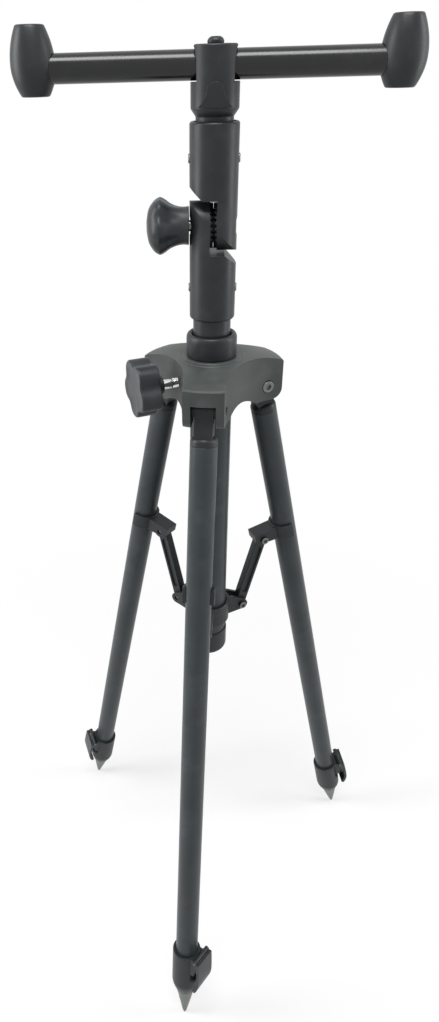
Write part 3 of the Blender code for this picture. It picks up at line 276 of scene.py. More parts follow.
def soften(obj, width=0.0, segments=3, angle=32.0):
    """Round the edges by a small radius if one is given, then weight the normals by face size."""
    if width:
        bm = bmesh.new()
        bm.from_mesh(obj.data)
        bmesh.ops.remove_doubles(bm, verts=bm.verts, dist=0.02 * MM)
        bmesh.ops.dissolve_degenerate(bm, edges=bm.edges, dist=0.01 * MM)
        bmesh.ops.dissolve_limit(bm, angle_limit=math.radians(0.3), verts=bm.verts, edges=bm.edges)
        bm.to_mesh(obj.data)
        bm.free()
        bevel = obj.modifiers.new("edge", "BEVEL")
        bevel.width = width * MM
        bevel.segments = segments
        bevel.limit_method = "ANGLE"
        bevel.angle_limit = math.radians(angle)
        bevel.use_clamp_overlap = True
        bake_modifiers(obj)
    obj.data.shade_smooth()
    obj.data.set_sharp_from_angle(angle=math.radians(SHARP_FROM))
    normals = obj.modifiers.new("normals", "WEIGHTED_NORMAL")
    normals.keep_sharp = True
    return bake_modifiers(obj)


def lathe(profile, sides=ROUND, closed=False):
    """A turned part, whose profile holds its rounded edges already."""
    return soften(as_object(revolve(profile, sides, closed=closed)))


made = []


def place(*rows):
    """Put each shape where a CAD node is, to stand for it, then clear the bench of the shapes."""
    for shape, look, node, body, matrix in rows:
        shape.data.materials.clear()
        shape.data.materials.append(look)
        obj = bpy.data.objects.new(f"{node}_fine", shape.data)
        bpy.context.scene.collection.objects.link(obj)
        obj.matrix_world = matrix
        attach(obj, body)
        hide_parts(node)
        made.append(obj.name)
    for shape in {row[0] for row in rows}:
        bpy.data.objects.remove(shape, do_unlink=True)


def place_each(*rows):
    """The same leg by leg: {} in a name is the leg's number, and each seat is a function of it."""
    place(*((shape, look, node.format(n), body.format(n), seat(n))
            for n in LEGS for shape, look, node, body, seat in rows))


# %% [markdown]
# The finishes share four surface effects, each a node group. Worn edges come from comparing
# the true normal with a slightly rounded one: they differ only near an edge. Moulded grain is
# fine noise for bump with broad noise for tone. Drawn lines are noise stretched along a tube's
# length, as an extrusion die leaves them. Dust is blotches broken up by fine specks.

# %% Node group helper
def new_group(name, inputs, outputs):
    group = bpy.data.node_groups.new(name, "ShaderNodeTree")
    for label, value in inputs:
        socket = group.interface.new_socket(label, in_out="INPUT", socket_type="NodeSocketFloat")
        socket.default_value = value
    for label in outputs:
        group.interface.new_socket(label, in_out="OUTPUT", socket_type="NodeSocketFloat")
    return group, group.nodes.new("NodeGroupInput"), group.nodes.new("NodeGroupOutput")


def feed(tree, socket, value):
    """Give a socket a plain value, or link another node's output to it."""
    if isinstance(value, bpy.types.NodeSocket):
        tree.links.new(value, socket)
    else:
        socket.default_value = value


def add_node(tree, kind, **inputs):
    """A new shader node, with inputs fed by their names, where _ stands for a space."""
    node = tree.nodes.new(f"ShaderNode{kind}")
    for label, value in inputs.items():
        feed(tree, node.inputs[label.replace("_", " ")], value)
    return node


def math_node(tree, operation, *values, clamp=False):
    node = add_node(tree, "Math")
    node.operation = operation
    node.use_clamp = clamp
    for socket, value in zip(node.inputs, values):
        feed(tree, socket, value)
    return node.outputs[0]


def noise(tree, vector, scale, detail=3.0, roughness=0.55):
    return add_node(tree, "TexNoise", Vector=vector, Scale=scale, Detail=detail,
                    Roughness=roughness).outputs["Fac"]


def ramp(tree, value, low, high):
    node = add_node(tree, "MapRange", Value=value, From_Min=low, From_Max=high)
    node.interpolation_type = "SMOOTHSTEP"
    return node.outputs["Result"]


def object_place(tree):
    return add_node(tree, "TexCoord").outputs["Object"]


# %% Effect: worn edges
def build_edge_wear():
    group, given, result = new_group("worn_edges", [("Radius", 0.6 * MM), ("Breakup", 400.0)], ["Mask"])
    rounded = add_node(group, "Bevel", Radius=given.outputs["Radius"])
    rounded.samples = 4
    dot = add_node(group, "VectorMath")
    dot.operation = "DOT_PRODUCT"
    feed(group, dot.inputs[0], rounded.outputs["Normal"])
    feed(group, dot.inputs[1], add_node(group, "NewGeometry").outputs["Normal"])
    bend = math_node(group, "SUBTRACT", 1.0, dot.outputs["Value"])
    strong = math_node(group, "MULTIPLY", bend, 9.0, clamp=True)
    patchy = ramp(group, noise(group, object_place(group), given.outputs["Breakup"]), 0.35, 0.7)
    feed(group, result.inputs["Mask"], math_node(group, "MULTIPLY", strong, patchy))
    return group


# %% Effect: moulded grain
def build_grain():
    group, given, result = new_group("moulded_grain", [("Scale", 1800.0), ("Broad", 40.0)],
                                     ["Height", "Tone"])
    where = object_place(group)
    fine = noise(group, where, given.outputs["Scale"], 2.0, 0.6)
    pits = add_node(group, "TexVoronoi", Vector=where, Scale=given.outputs["Scale"])
    pitted = math_node(group, "MULTIPLY", pits.outputs["Distance"], 0.5)
    feed(group, result.inputs["Height"], math_node(group, "ADD", fine, pitted))
    broad = noise(group, where, given.outputs["Broad"], 4.0)
    feed(group, result.inputs["Tone"], ramp(group, broad, 0.3, 0.72))
    return group


# %% Effect: drawn lines along a tube
def build_drawn_lines():
    group, given, result = new_group("drawn_lines", [("Scale", 900.0), ("Stretch", 0.012)],
                                     ["Height", "Tone"])
    where = object_place(group)
    apart = add_node(group, "SeparateXYZ", Vector=where).outputs
    along = math_node(group, "MULTIPLY", apart["Z"], given.outputs["Stretch"])
    together = add_node(group, "CombineXYZ", X=apart["X"], Y=apart["Y"], Z=along)
    lines = noise(group, together.outputs["Vector"], given.outputs["Scale"], 2.0, 0.7)
    feed(group, result.inputs["Height"], lines)
    feed(group, result.inputs["Tone"], ramp(group, noise(group, where, 22.0, 4.0), 0.3, 0.7))
    return group


# %% Effect: a thin film of dust
def build_dust():
    group, given, result = new_group("dust_film", [("Patches", 55.0), ("Specks", 2600.0)], ["Mask"])
    where = object_place(group)
    patches = ramp(group, noise(group, where, given.outputs["Patches"], 5.0), 0.48, 0.8)
    specks = ramp(group, noise(group, where, given.outputs["Specks"], 1.0), 0.55, 0.75)
    specked = math_node(group, "MULTIPLY", specks, patches)
    feed(group, result.inputs["Mask"], math_node(group, "MULTIPLY_ADD", patches, 0.6, specked))
    return group


worn_edges = build_edge_wear()
moulded_grain = build_grain()
drawn_lines = build_drawn_lines()
dust_film = build_dust()
print("effects:", worn_edges.name, moulded_grain.name, drawn_lines.name, dust_film.name)

# %% [markdown]
# One recipe mixes the effects into a finish. The base colour drifts a little in tone, takes
# dust, and shows the worn colour on its edges. The grain or the drawn lines drive a bump, and
# roughness follows tone and dust. Colours are given as linear values: this object is
# almost black, so the differences between its finishes lie mostly in gloss and grain.


def mix_colour(tree, mask, first, second):
    node = add_node(tree, "Mix")
    node.data_type = "RGBA"
    for socket, value in ((node.inputs["Factor"], mask), (node.inputs[6], first), (node.inputs[7], second)):
        feed(tree, socket, (*value, 1.0) if isinstance(value, tuple) else value)
    return node.outputs[2]


def place_group(tree, group, **values):
    node = tree.nodes.new("ShaderNodeGroup")
    node.node_tree = group
    for label, value in values.items():
        node.inputs[label].default_value = value
    return node


def finish(name, colour, second, worn, roughness, spread, metallic=0.0, grain=1800.0, bump=0.12,
           effect=moulded_grain, wear=0.5, dust=0.25, edge=0.6 * MM, specular=0.3):
    """A material with two drifting tones, worn edges, dust and relief."""
    material = bpy.data.materials.new(name)
    material.use_nodes = True
    tree = material.node_tree
    texture = place_group(tree, effect, Scale=grain)
    edges = place_group(tree, worn_edges, Radius=edge)
    film = place_group(tree, dust_film)
    tone = texture.outputs["Tone"]
    dusty = math_node(tree, "MULTIPLY", film.outputs["Mask"], dust, clamp=True)
    dusted = mix_colour(tree, dusty, mix_colour(tree, tone, colour, second),
                        tuple(min(1.0, 0.10 + c * 1.3) for c in colour))
    rubbed = math_node(tree, "MULTIPLY", edges.outputs["Mask"], wear, clamp=True)
    varied = math_node(tree, "MULTIPLY_ADD", tone, spread, roughness)
    relief = add_node(tree, "Bump", Strength=bump, Distance=0.05 * MM, Height=texture.outputs["Height"])
    shader = tree.nodes["Principled BSDF"]
    for label, value in (("Base Color", mix_colour(tree, rubbed, dusted, worn)),
                         ("Roughness", math_node(tree, "MULTIPLY_ADD", dusty, 0.25, varied, clamp=True)),
                         ("Metallic", metallic), ("Specular IOR Level", specular),
                         ("Normal", relief.outputs["Normal"])):
        feed(tree, shader.inputs[label], value)
    return material


# %% The tripod's finishes
moulded = finish("moulded_nylon", (0.013, 0.0155, 0.0175), (0.019, 0.022, 0.024),
                 (0.09, 0.095, 0.095), 0.36, 0.10, grain=2200.0, bump=0.30, wear=0.4, dust=0.2)
# The hub is the same black nylon as the other mouldings. Its lighter colour is painted light, standing in for
# the overhead lamp on its upper face.
hub_painted_light_moulded = finish("hub_nylon_painted_light", (0.042, 0.048, 0.047), (0.058, 0.065, 0.063),
                     (0.16, 0.17, 0.16), 0.42, 0.10, grain=1600.0, bump=0.35, dust=0.3)
leg_satin = finish("leg_anodised", (0.034, 0.042, 0.045), (0.044, 0.052, 0.056),
                   (0.18, 0.19, 0.19), 0.30, 0.08, grain=900.0, bump=0.10, effect=drawn_lines,
                   dust=0.2, specular=0.22)
inner_satin = finish("inner_leg_anodised", (0.08, 0.09, 0.09), (0.10, 0.11, 0.11),
                     (0.25, 0.25, 0.25), 0.32, 0.10, 0.4, grain=1100.0, effect=drawn_lines)
column_satin = finish("column_anodised", (0.020, 0.024, 0.027), (0.028, 0.032, 0.036),
                      (0.16, 0.16, 0.16), 0.30, 0.10, 0.1, grain=1000.0, bump=0.10, effect=drawn_lines)
bar_gloss = finish("crossbar_gloss", (0.006, 0.0065, 0.007), (0.008, 0.0085, 0.009),
                   (0.06, 0.06, 0.06), 0.19, 0.04, grain=700.0, bump=0.03, effect=drawn_lines,
                   wear=0.2, dust=0.12, specular=0.42)
knob_rubbed = finish("knob_nylon", (0.017, 0.020, 0.023), (0.024, 0.028, 0.031),
                     (0.12, 0.125, 0.125), 0.34, 0.10, grain=2000.0, bump=0.28)
dark_steel = finish("dark_nickel", (0.16, 0.16, 0.155), (0.20, 0.20, 0.19),
                    (0.5, 0.5, 0.48), 0.28, 0.14, 1.0, grain=1500.0, bump=0.15, wear=0.7, edge=0.3 * MM)
spike_steel = finish("spike_steel", (0.15, 0.165, 0.155), (0.20, 0.215, 0.20),
                     (0.42, 0.43, 0.40), 0.40, 0.16, 0.7, grain=1200.0, bump=0.25, wear=0.6, dust=0.4)
chrome = finish("bright_chrome", (0.78, 0.78, 0.77), (0.72, 0.72, 0.71), (0.85, 0.85, 0.85),
                0.08, 0.06, 1.0, grain=600.0, bump=0.03, wear=0.2, dust=0.1)
brass = finish("turned_brass", (0.55, 0.40, 0.17), (0.48, 0.34, 0.14), (0.75, 0.60, 0.32),
               0.26, 0.12, 1.0, grain=1300.0, wear=0.4)
white_nylon = finish("bush_nylon", (0.60, 0.60, 0.57), (0.54, 0.54, 0.51), (0.70, 0.70, 0.68),
                     0.45, 0.10, grain=1500.0, bump=0.15, dust=0.3)
print("finishes:", len(bpy.data.materials))

# %% [markdown]
# The hub is the moulded casting that everything hangs from. Three clevis arms carry the legs,
# and a seat in the middle takes the guide's collar. It starts as a turned dome with two fine
# steps round the seat. That is trimmed to a plan of three arms with arcs between them, so the
# arcs leave tall hollow sides. The underside, slots, bolt ways and bore are cut last.

# %% Sizes of the hub
LEG_AZIMUTHS = (-90.0, 30.0, 150.0)
TONGUE_WIDTH = 19.0
CHEEK = 6.2
ARM_HALF = TONGUE_WIDTH / 2.0 + SEAT + CHEEK
ARM_REACH = 59.5
PIVOT_RADIUS = 43.8
HUB_DROP = 12.0
SEAT_RISE = 29.0
RING_STEP = 0.5
WEB_DROP = 3.0
SLOT_INNER_R = 29.0
HEAD_RECESS = 2.0
GUIDE_R = 17.2
KNOB_AZIMUTH = 210.0
STUD_RISE = 10.0
PIVOT_BORE = 3.3
STUD_BORE = 4.3
knob_way = turn(KNOB_AZIMUTH, "Z") @ shift(z=STUD_RISE) @ ALONG_X


def hub_section():
    """Half section as (radius, z): the arms' rounded ends, the dome, the steps and the seat."""
    corner = 9.0
    crown = SEAT_RISE - 2.0 * RING_STEP
    inner = 27.1
    edge = 1.2
    outer = ARM_REACH - edge
    fall = 6.6
    steps = 16
    dome = [(inner + (outer - inner) * i / steps, crown - fall * (i / steps) ** 1.6)
            for i in range(steps + 1)]
    section = [(0.0, -HUB_DROP)] + arc((ARM_REACH - corner, -HUB_DROP + corner), corner, -90.0, 0.0, 12)
    section += [(ARM_REACH, crown - fall - edge)] + dome[::-1]
    return section + [(inner - RING_STEP, SEAT_RISE - RING_STEP), (23.1, SEAT_RISE - RING_STEP),
                      (22.6, SEAT_RISE), (0.0, SEAT_RISE)]


def xy_of(matrix):
    return tuple(c / MM for c in matrix.translation.xy)


def hub_plan():
    """The hub from above: straight arms, and between them arcs that run into their sides."""
    distance = 105.0
    radius = distance * math.sin(math.radians(60.0)) - ARM_HALF
    reach = ARM_REACH + 9.0
    plan = []
    for azimuth in LEG_AZIMUTHS:
        outward = turn(azimuth, "Z")
        plan += [xy_of(outward @ shift(reach, side)) for side in (-ARM_HALF, ARM_HALF)]
        centre = xy_of(turn(azimuth + 60.0, "Z") @ shift(distance))
        plan += arc(centre, radius, azimuth + 270.0, azimuth + 210.0, 40)
    return plan


# %% The hub casting
def make_hub():
    hollow_r = 38.0
    web_r = 27.0
    boss_r = 22.5
    boss_drop = 7.0
    slot_top = 8.6
    head_bore = 5.5
    hub = as_object(revolve(hub_section(), 144))
    keep(hub, prism(hub_plan(), -FAR, FAR))
    cut(hub, revolve([(0.0, -FAR), (hollow_r, -FAR), (hollow_r, -HUB_DROP), (web_r, -WEB_DROP),
                      (0.0, -WEB_DROP)], 144))
    unite(hub, rod(boss_r, -boss_drop, 0.0, ROUND))
    slot = rectangle(SLOT_INNER_R, -FAR, FAR, slot_top)
    for azimuth in LEG_AZIMUTHS:
        outward = turn(azimuth, "Z")
        cut(hub, slab(slot, TONGUE_WIDTH / 2.0 + SEAT, outward))
        pivot = outward @ shift(PIVOT_RADIUS) @ ALONG_Y
        cut(hub, drill(PIVOT_BORE, pivot), turned(rod(head_bore, ARM_HALF - HEAD_RECESS, FAR), pivot))
    cut(hub, rod(GUIDE_R + SEAT, -FAR, FAR, ROUND))
    cut(hub, turned(rod(STUD_BORE, 0.0, FAR), knob_way))
    return soften(hub, 0.8, 4, 24.0)


hub = make_hub()
print("hub faces:", len(hub.data.polygons))
place((hub, hub_painted_light_moulded, "hub_casting", "hub", hub_frame))

# %% [markdown]
# A guide tube is pressed into the hub. Its collar above holds the sliding column upright, and
# a moulded cap closes it below. The collar's soft upper lip is what catches the light just
# over the hub, so its profile is a smooth curve and not a chamfer.

# %% Guide tube, collar and end cap
guide_low, guide_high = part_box("guide_tube")
guide_bottom = (guide_low.z - hub_frame.translation.z) / MM
guide_top = (guide_high.z - hub_frame.translation.z) / MM


def make_guide_tube():
    wall = 2.0
    pad_bore = 3.9
    tube = as_object(ring_shape(GUIDE_R, GUIDE_R - wall, guide_bottom, guide_top, 96))
    cut(tube, turned(rod(pad_bore, 0.0, FAR), knob_way))
    return soften(tube)


def make_guide_collar():
    seat = SEAT_RISE + SEAT
    top = seat + 18.0
    bore = 15.1
    lip = smooth_profile([(20.0, top - 4.6), (19.8, top - 2.4), (18.9, top - 0.7),
                          (17.6, top), (16.4, top - 0.3), (bore, top - 1.9)], 5)
    foot = [(GUIDE_R + SEAT, seat), (19.3, seat), (19.8, seat + 0.3), (20.0, seat + 0.9)]
    return lathe(foot + lip + [(bore, guide_top + SEAT), (GUIDE_R + SEAT, guide_top + SEAT)], 96, True)


def make_guide_cap():
    bore = GUIDE_R + SEAT
    wall = 18.6
    corner = 6.0
    floor = guide_bottom - 4.0
    rim = guide_bottom + 22.0
    profile = [(0.0, floor)] + arc((wall - corner, floor + corner), corner, -90.0, 0.0, 10)
    profile += [(wall, rim - 1.0), (18.3, rim - 0.3), (17.9, rim), (bore, rim),
                (bore, guide_bottom - SEAT), (0.0, guide_bottom - SEAT)]
    return lathe(profile, 96)


place((make_guide_tube(), leg_satin, "guide_tube", "hub", hub_frame),
      (make_guide_collar(), moulded, "guide_collar", "hub", hub_frame),
      (make_guide_cap(), moulded, "guide_end_cap", "hub", hub_frame))
print("guide tube from", round(guide_bottom, 1), "to", round(guide_top, 1))

# %% [markdown]
# The tripod is held together by socket-head bolts. Their heads are cylinders with a broken
# upper edge and a hexagon socket with a conical floor. One function makes every size.

# %% Socket-head bolts
def make_bolt(shank_r, head_r, head_height, length):
    edge = 0.14 * head_r
    profile = [(0.0, -length), (shank_r - 0.4, -length), (shank_r, -length + 0.4), (shank_r, 0.0),
               (head_r - 0.2, 0.0), (head_r, 0.2), (head_r, head_height - edge),
               (head_r - 0.3 * edge, head_height - 0.3 * edge), (head_r - edge, head_height),
               (0.0, head_height)]
    bolt = as_object(revolve(profile, 48))
    socket = prism(arc((0.0, 0.0), 0.56 * head_r, 0.0, 300.0, 5), 0.38 * head_height, FAR)
    cone = revolve([(0.0, 0.2 * head_height), (0.5 * head_r, 0.4 * head_height),
                    (0.0, 0.41 * head_height)], 32)
    cut(bolt, socket, cone)
    return soften(bolt, 0.12, 2)


def ring_seat(number, radius, rise):
    """Where a bolt head sits, on the side of one of the three arms or pairs of ears."""
    return turn(LEG_AZIMUTHS[number - 1], "Z") @ shift(radius) @ ALONG_Y @ shift(z=rise)


def pivot_bolt_seat(number):
    return hub_frame @ ring_seat(number, PIVOT_RADIUS, ARM_HALF - HEAD_RECESS + SEAT)


place_each((make_bolt(PIVOT_BORE - SEAT, 5.0, 3.2, 2.0 * ARM_HALF - HEAD_RECESS - 1.0), dark_steel,
            "leg_pivot_bolt_{}", "hub", pivot_bolt_seat))

# %% [markdown]
# Each leg starts with a moulded fitting: a tongue with a round boss that turns in the hub's
# slot, a short ferrule as wide as the tube, and a plug inside it. The tube is plain satin
# anodised alloy. The inner leg slides in it and ends in a turned steel spike for the bank.

# %% Leg fittings, tubes and spikes
LEG_R = 11.0
LEG_WALL = 1.0
LEG_START = 28.0
INNER_R = 9.4
LEG_LENGTH = 648.0
INNER_END = LEG_LENGTH - 38.0
TUBE_END = 566.0
PLUG = 26.0
INNER_TOP = LEG_START + PLUG + 28.0


def make_leg_fitting():
    half = TONGUE_WIDTH / 2.0
    tongue_r = 7.6
    shoulder = -21.0
    fillet = 3.6
    plug = LEG_R - LEG_WALL - SEAT
    low = -LEG_START - PLUG
    body = as_object(revolve([(0.0, low), (plug - 0.8, low), (plug, low + 0.8),
                              (plug, -LEG_START + SEAT), (LEG_R, -LEG_START + SEAT)]
                             + arc((LEG_R - fillet, shoulder - fillet), fillet, 0.0, 90.0, 10)
                             + [(0.0, shoulder)], ROUND))
    tongue = [(-tongue_r, shoulder - fillet), (tongue_r, shoulder - fillet)]
    tongue += arc((0.0, 0.0), tongue_r, 0.0, 180.0, 24)
    unite(body, slab(tongue, 7.3), turned(rod(6.6, -half, half, 48), ALONG_Y))
    cut(body, drill(PIVOT_BORE, ALONG_Y))
    return soften(body, 0.5)


def make_tube(outer, low, high):
    return soften(as_object(ring_shape(outer, outer - LEG_WALL, low, high)))


def make_spike():
    low = -INNER_END
    plug = INNER_R - LEG_WALL - SEAT
    cone = [(8.8, low - 3.0), (6.6, low - 14.0), (4.4, low - 24.0),
            (2.4, low - 33.2), (1.3, low - 36.6), (0.6, low - 37.7)]
    profile = [(0.0, low + 24.0), (plug, low + 24.0), (plug, low - SEAT),
               (INNER_R - 0.2, low - SEAT), (INNER_R, low - 0.6), (INNER_R, low - 2.2),
               (INNER_R - 0.2, low - 2.8)]
    return lathe(profile + smooth_profile(cone, 4) + [(0.0, -LEG_LENGTH)])


for shape, look, node, body in (
        (make_leg_fitting(), moulded, "leg_{}_top_fitting", "leg_{}"),
        (make_tube(LEG_R, -TUBE_END, -LEG_START), leg_satin, "leg_{}_tube", "leg_{}"),
        (make_tube(INNER_R, -INNER_END, -INNER_TOP), inner_satin, "inner_leg_{}", "inner_leg_{}"),
        (make_spike(), spike_steel, "foot_spike_{}", "inner_leg_{}")):
    place_each((shape, look, node, body, leg_frame))

# %% [markdown]
# Not far down each leg a saddle is snapped on from the inner side. Its two cheeks carry a bolt,
# and a roof joins them over the strut's eye. The strut runs down to the sliding spreader
# collar, so that all three legs open together.

# %% Leg clips
CLIP_DOWN = 160.0
CLIP_IN = 25.5
STRUT_WIDTH = 8.0
EYE_ROOM = STRUT_WIDTH / 2.0 + 0.4
EAR_HALF = EYE_ROOM + 3.0
LINK_BORE = 2.3


def make_clip():
    bore = LEG_R + SEAT
    outer = bore + 2.6
    cheek_r = 5.5
    cheek_end = -34.0
    pin_z = -CLIP_DOWN
    low = pin_z - cheek_r
    clip = as_object(ring_shape(outer, bore, low, pin_z + 9.0, edge=0.4))
    top = pin_z + 8.0
    cheeks = [(-bore, low), (-bore, top), (cheek_end, top), (cheek_end, pin_z + SEAT)]
    cheeks += arc((-CLIP_IN, pin_z), cheek_r, -150.0, -50.0, 14)
    unite(clip, slab(cheeks, EAR_HALF))
    cut(clip, rod(bore, pin_z - FAR, pin_z + FAR, ROUND))
    eye_room_r = 5.8
    wall = -outer - 0.5
    end = -CLIP_IN - eye_room_r
    roof = pin_z + eye_room_r
    cut(clip, slab([(wall, pin_z - FAR), (wall, roof), (end, roof), (end, pin_z - FAR)], EYE_ROOM))
    cut(clip, drill(LINK_BORE, shift(-CLIP_IN, 0.0, pin_z) @ ALONG_Y))
    opening = 3.0
    cut(clip, prism(rectangle(opening, -FAR, FAR, FAR), pin_z - FAR, pin_z + FAR))
    return soften(clip, 0.5)


def make_link_bolt():
    return make_bolt(LINK_BORE - SEAT, 3.6, 2.4, 2.0 * EAR_HALF - 1.0)


def clip_bolt_seat(number):
    return leg_frame(number) @ shift(-CLIP_IN, 0.0, -CLIP_DOWN) @ ALONG_Y @ shift(z=EAR_HALF + SEAT)


place_each((make_clip(), moulded, "leg_{}_clip", "leg_{}", leg_frame),
           (make_link_bolt(), dark_steel, "leg_{}_clip_bolt", "leg_{}", clip_bolt_seat))

# %% [markdown]
# The spreader collar slides on the guide tube and carries three pairs of ears. Each strut is a
# moulded link with a groove down both faces, a round eye above and a slotted eye below.

# %% Spreader collar
SPREADER_PIN_R = 34.0
STRUT_LENGTH = 75.3
STRUT_DEPTH = 10.0
SPREADER_DROP = 9.0
SPREADER_HEIGHT = 22.0
spreader_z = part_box("spreader_collar")[0].z + SPREADER_DROP * MM
spreader_frame = Matrix.Translation((column_at.x, column_at.y, spreader_z))


def make_spreader():
    bore = GUIDE_R + 0.5
    outer = bore + 2.8
    top = -SPREADER_DROP + SPREADER_HEIGHT
    ring = as_object(ring_shape(outer, bore, -SPREADER_DROP, top, edge=0.7))
    root = bore + 1.0
    ear_r = 5.8
    ear_top = 12.0
    ear = [(root, -7.5), (SPREADER_PIN_R - 2.0, -ear_r)]
    ear += arc((SPREADER_PIN_R, 0.0), ear_r, -76.0, 60.0, 16)
    ear += [(root + 5.0, ear_top), (root, ear_top)]
    outwards = [turn(azimuth, "Z") for azimuth in LEG_AZIMUTHS]
    for outward in outwards:
        unite(ring, slab(ear, EAR_HALF, outward))
    for outward in outwards:
        cut(ring, slab(rectangle(outer + 0.5, -FAR, FAR, FAR), EYE_ROOM, outward))
        cut(ring, drill(LINK_BORE, outward @ shift(SPREADER_PIN_R) @ ALONG_Y))
    cut(ring, rod(bore, -FAR, FAR, ROUND))
    return soften(ring, 0.45)


def spreader_bolt_seat(number):
    return spreader_frame @ ring_seat(number, SPREADER_PIN_R, EAR_HALF + SEAT)


place((make_spreader(), moulded, "spreader_collar", "spreader", spreader_frame))
place_each((make_link_bolt(), dark_steel, "spreader_bolt_{}", "spreader", spreader_bolt_seat))

# %% Struts
def strut_frame(number):
    foot = (spreader_frame @ turn(LEG_AZIMUTHS[number - 1], "Z") @ shift(SPREADER_PIN_R)).translation
    head = joint_place(f"strut_{number}_turn")
    across = joint_axis(f"leg_{number}_fold")
    up = (head - foot).normalized()
    return frame_of(head, across.cross(up), across, up)


def make_strut():
    r = STRUT_DEPTH / 2.0
    outline = arc((0.0, 0.0), r, 0.0, 180.0, 24) + arc((0.0, -STRUT_LENGTH), r, 180.0, 360.0, 24)
    link = as_object(slab(outline, STRUT_WIDTH / 2.0))
    play = 3.4
    slot = arc((0.0, -STRUT_LENGTH), LINK_BORE, 180.0, 360.0, 12)
    slot += arc((0.0, -STRUT_LENGTH + play), LINK_BORE, 0.0, 180.0, 12)
    cut(link, drill(LINK_BORE, ALONG_Y), slab(slot, FAR))
    groove_r = r - 2.4
    groove = arc((0.0, -r - 7.0), groove_r, 0.0, 180.0, 12)
    groove += arc((0.0, -STRUT_LENGTH + r + 9.0), groove_r, 180.0, 360.0, 12)
    floor = STRUT_WIDTH / 2.0 - 1.6
    cut(link, turned(prism(groove, floor, STRUT_WIDTH), ALONG_Y),
        turned(prism(groove, -STRUT_WIDTH, -floor), ALONG_Y))
    return soften(link, 0.4)


place_each((make_strut(), moulded, "strut_{}", "strut_{}", strut_frame))

# %% [markdown]
# A flip lock clamps each leg. The collar is a cup that is wide round the leg tube and tapers to
# the inner leg, split down one side, with lugs beside the split. The lever turns on a pin
# through the lugs and squeezes them. It is broad, with its end tucked in behind a thumb's room.

# %% Lock collars, pins and levers
PIN_DOWN = -(leg_frame(1).inverted() @ joint_place("lock_lever_1_flip")).z / MM
PIN_REACH = 17.0
LOCK_TOP = PIN_DOWN + 1.0
LOCK_FOOT = INNER_END - 2.0
LUG_HALF = 9.0
LUG_R = 2.4
LEVER_LENGTH = 38.0
LEVER_HALF = LUG_HALF + SEAT + 2.6
LOCK_PIN_BORE = 1.5


def make_lock():
    top = -LOCK_TOP
    low = -LOCK_FOOT
    bore = LEG_R + SEAT
    outer = bore + 2.8
    grip = INNER_R + SEAT
    foot = grip + 1.0
    ledge = -TUBE_END - SEAT
    heel = smooth_profile([(outer, low + 12.5), (outer - 0.1, low + 10.2),
                           (outer - 0.9, low + 6.2), (foot + 0.7, low + 1.2),
                           (foot, low)], 4)
    lock = as_object(revolve([(bore, top - 0.3), (bore + 0.3, top), (outer - 0.8, top),
                              (outer - 0.3, top - 0.2), (outer, top - 0.8)] + heel
                             + [(grip, low), (grip, ledge), (bore, ledge)], ROUND, closed=True))
    lugs = [(grip, -PIN_DOWN - 22.0), (outer + 1.2, -PIN_DOWN - 20.0)]
    lugs += arc((PIN_REACH, -PIN_DOWN), LUG_R, -40.0, 110.0, 14) + [(outer - 1.0, top), (grip, top)]
    unite(lock, slab(lugs, LUG_HALF))
    cut(lock, rod(bore, ledge, top + FAR, ROUND), rod(grip, low - FAR, ledge, ROUND))
    slit = 1.2
    cut(lock, prism(rectangle(0.0, -slit, FAR, slit), low - FAR, top - 4.0))
    cut(lock, drill(LOCK_PIN_BORE, shift(PIN_REACH, 0.0, -PIN_DOWN) @ ALONG_Y))
    return soften(lock, 0.4)


def make_lever():
    back = LUG_R + SEAT
    thickness = 2.8
    front = back + thickness
    end = -LEVER_LENGTH
    outline = smooth_profile([(front, 0.4), (front + 0.7, 0.35 * end), (front + 0.7, 0.66 * end),
                              (front - 1.2, 0.87 * end), (front - 4.0, end)], 5)
    outline += smooth_profile([(back - 4.0, 0.97 * end), (back - 1.2, 0.83 * end),
                               (back + 0.7, 0.64 * end), (back + 0.7, 0.35 * end),
                               (LUG_R, 0.16 * end)], 5)
    outline += arc((0.0, 0.0), LUG_R, 270.0, 0.0, 20)
    lever = as_object(slab(outline, LEVER_HALF))
    cut(lever, slab(rectangle(-FAR, 0.6 * end, back, FAR), LUG_HALF + SEAT))
    cut(lever, drill(LOCK_PIN_BORE, ALONG_Y))
    return soften(lever, 0.6)


def make_lock_pin():
    return soften(as_object(rod(LOCK_PIN_BORE - SEAT, -LEVER_HALF, LEVER_HALF, 24)), 0.2, 2)


def lock_pin_seat(number):
    return lever_frame(number) @ ALONG_Y


place_each((make_lock(), moulded, "lock_collar_{}", "leg_{}", lock_frame),
           (make_lock_pin(), dark_steel, "lock_pin_{}", "leg_{}", lock_pin_seat),
           (make_lever(), knob_rubbed, "lock_lever_{}", "lock_lever_{}", lever_frame))

# %% [markdown]
# The centre column ends in the tilt joint: two equal knuckles, one upside down. Each is a
# barrel that takes a tube, cut away to half its width below a bevelled shoulder, with an ear
# that carries a ring of face teeth. Tightening the knob presses the rings together, and the
# teeth stop the bar from sagging. The knuckle is modelled once and placed twice.

# %% The toothed knuckle
KNUCKLE_R = 17.3
EAR_FACE = 2.6
EAR_R = 17.0
KNUCKLE_RISE = 67.5
SOCKET_DEPTH = 43.0
PIN_RISE = 44.5
COLUMN_R = 14.6
TEETH = 24
TOOTH_CREST = EAR_FACE - SEAT / 2.0
DISC_CREST = EAR_FACE - 0.03
CROSS_BORE = 3.5
BOLT_SINK = 5.0


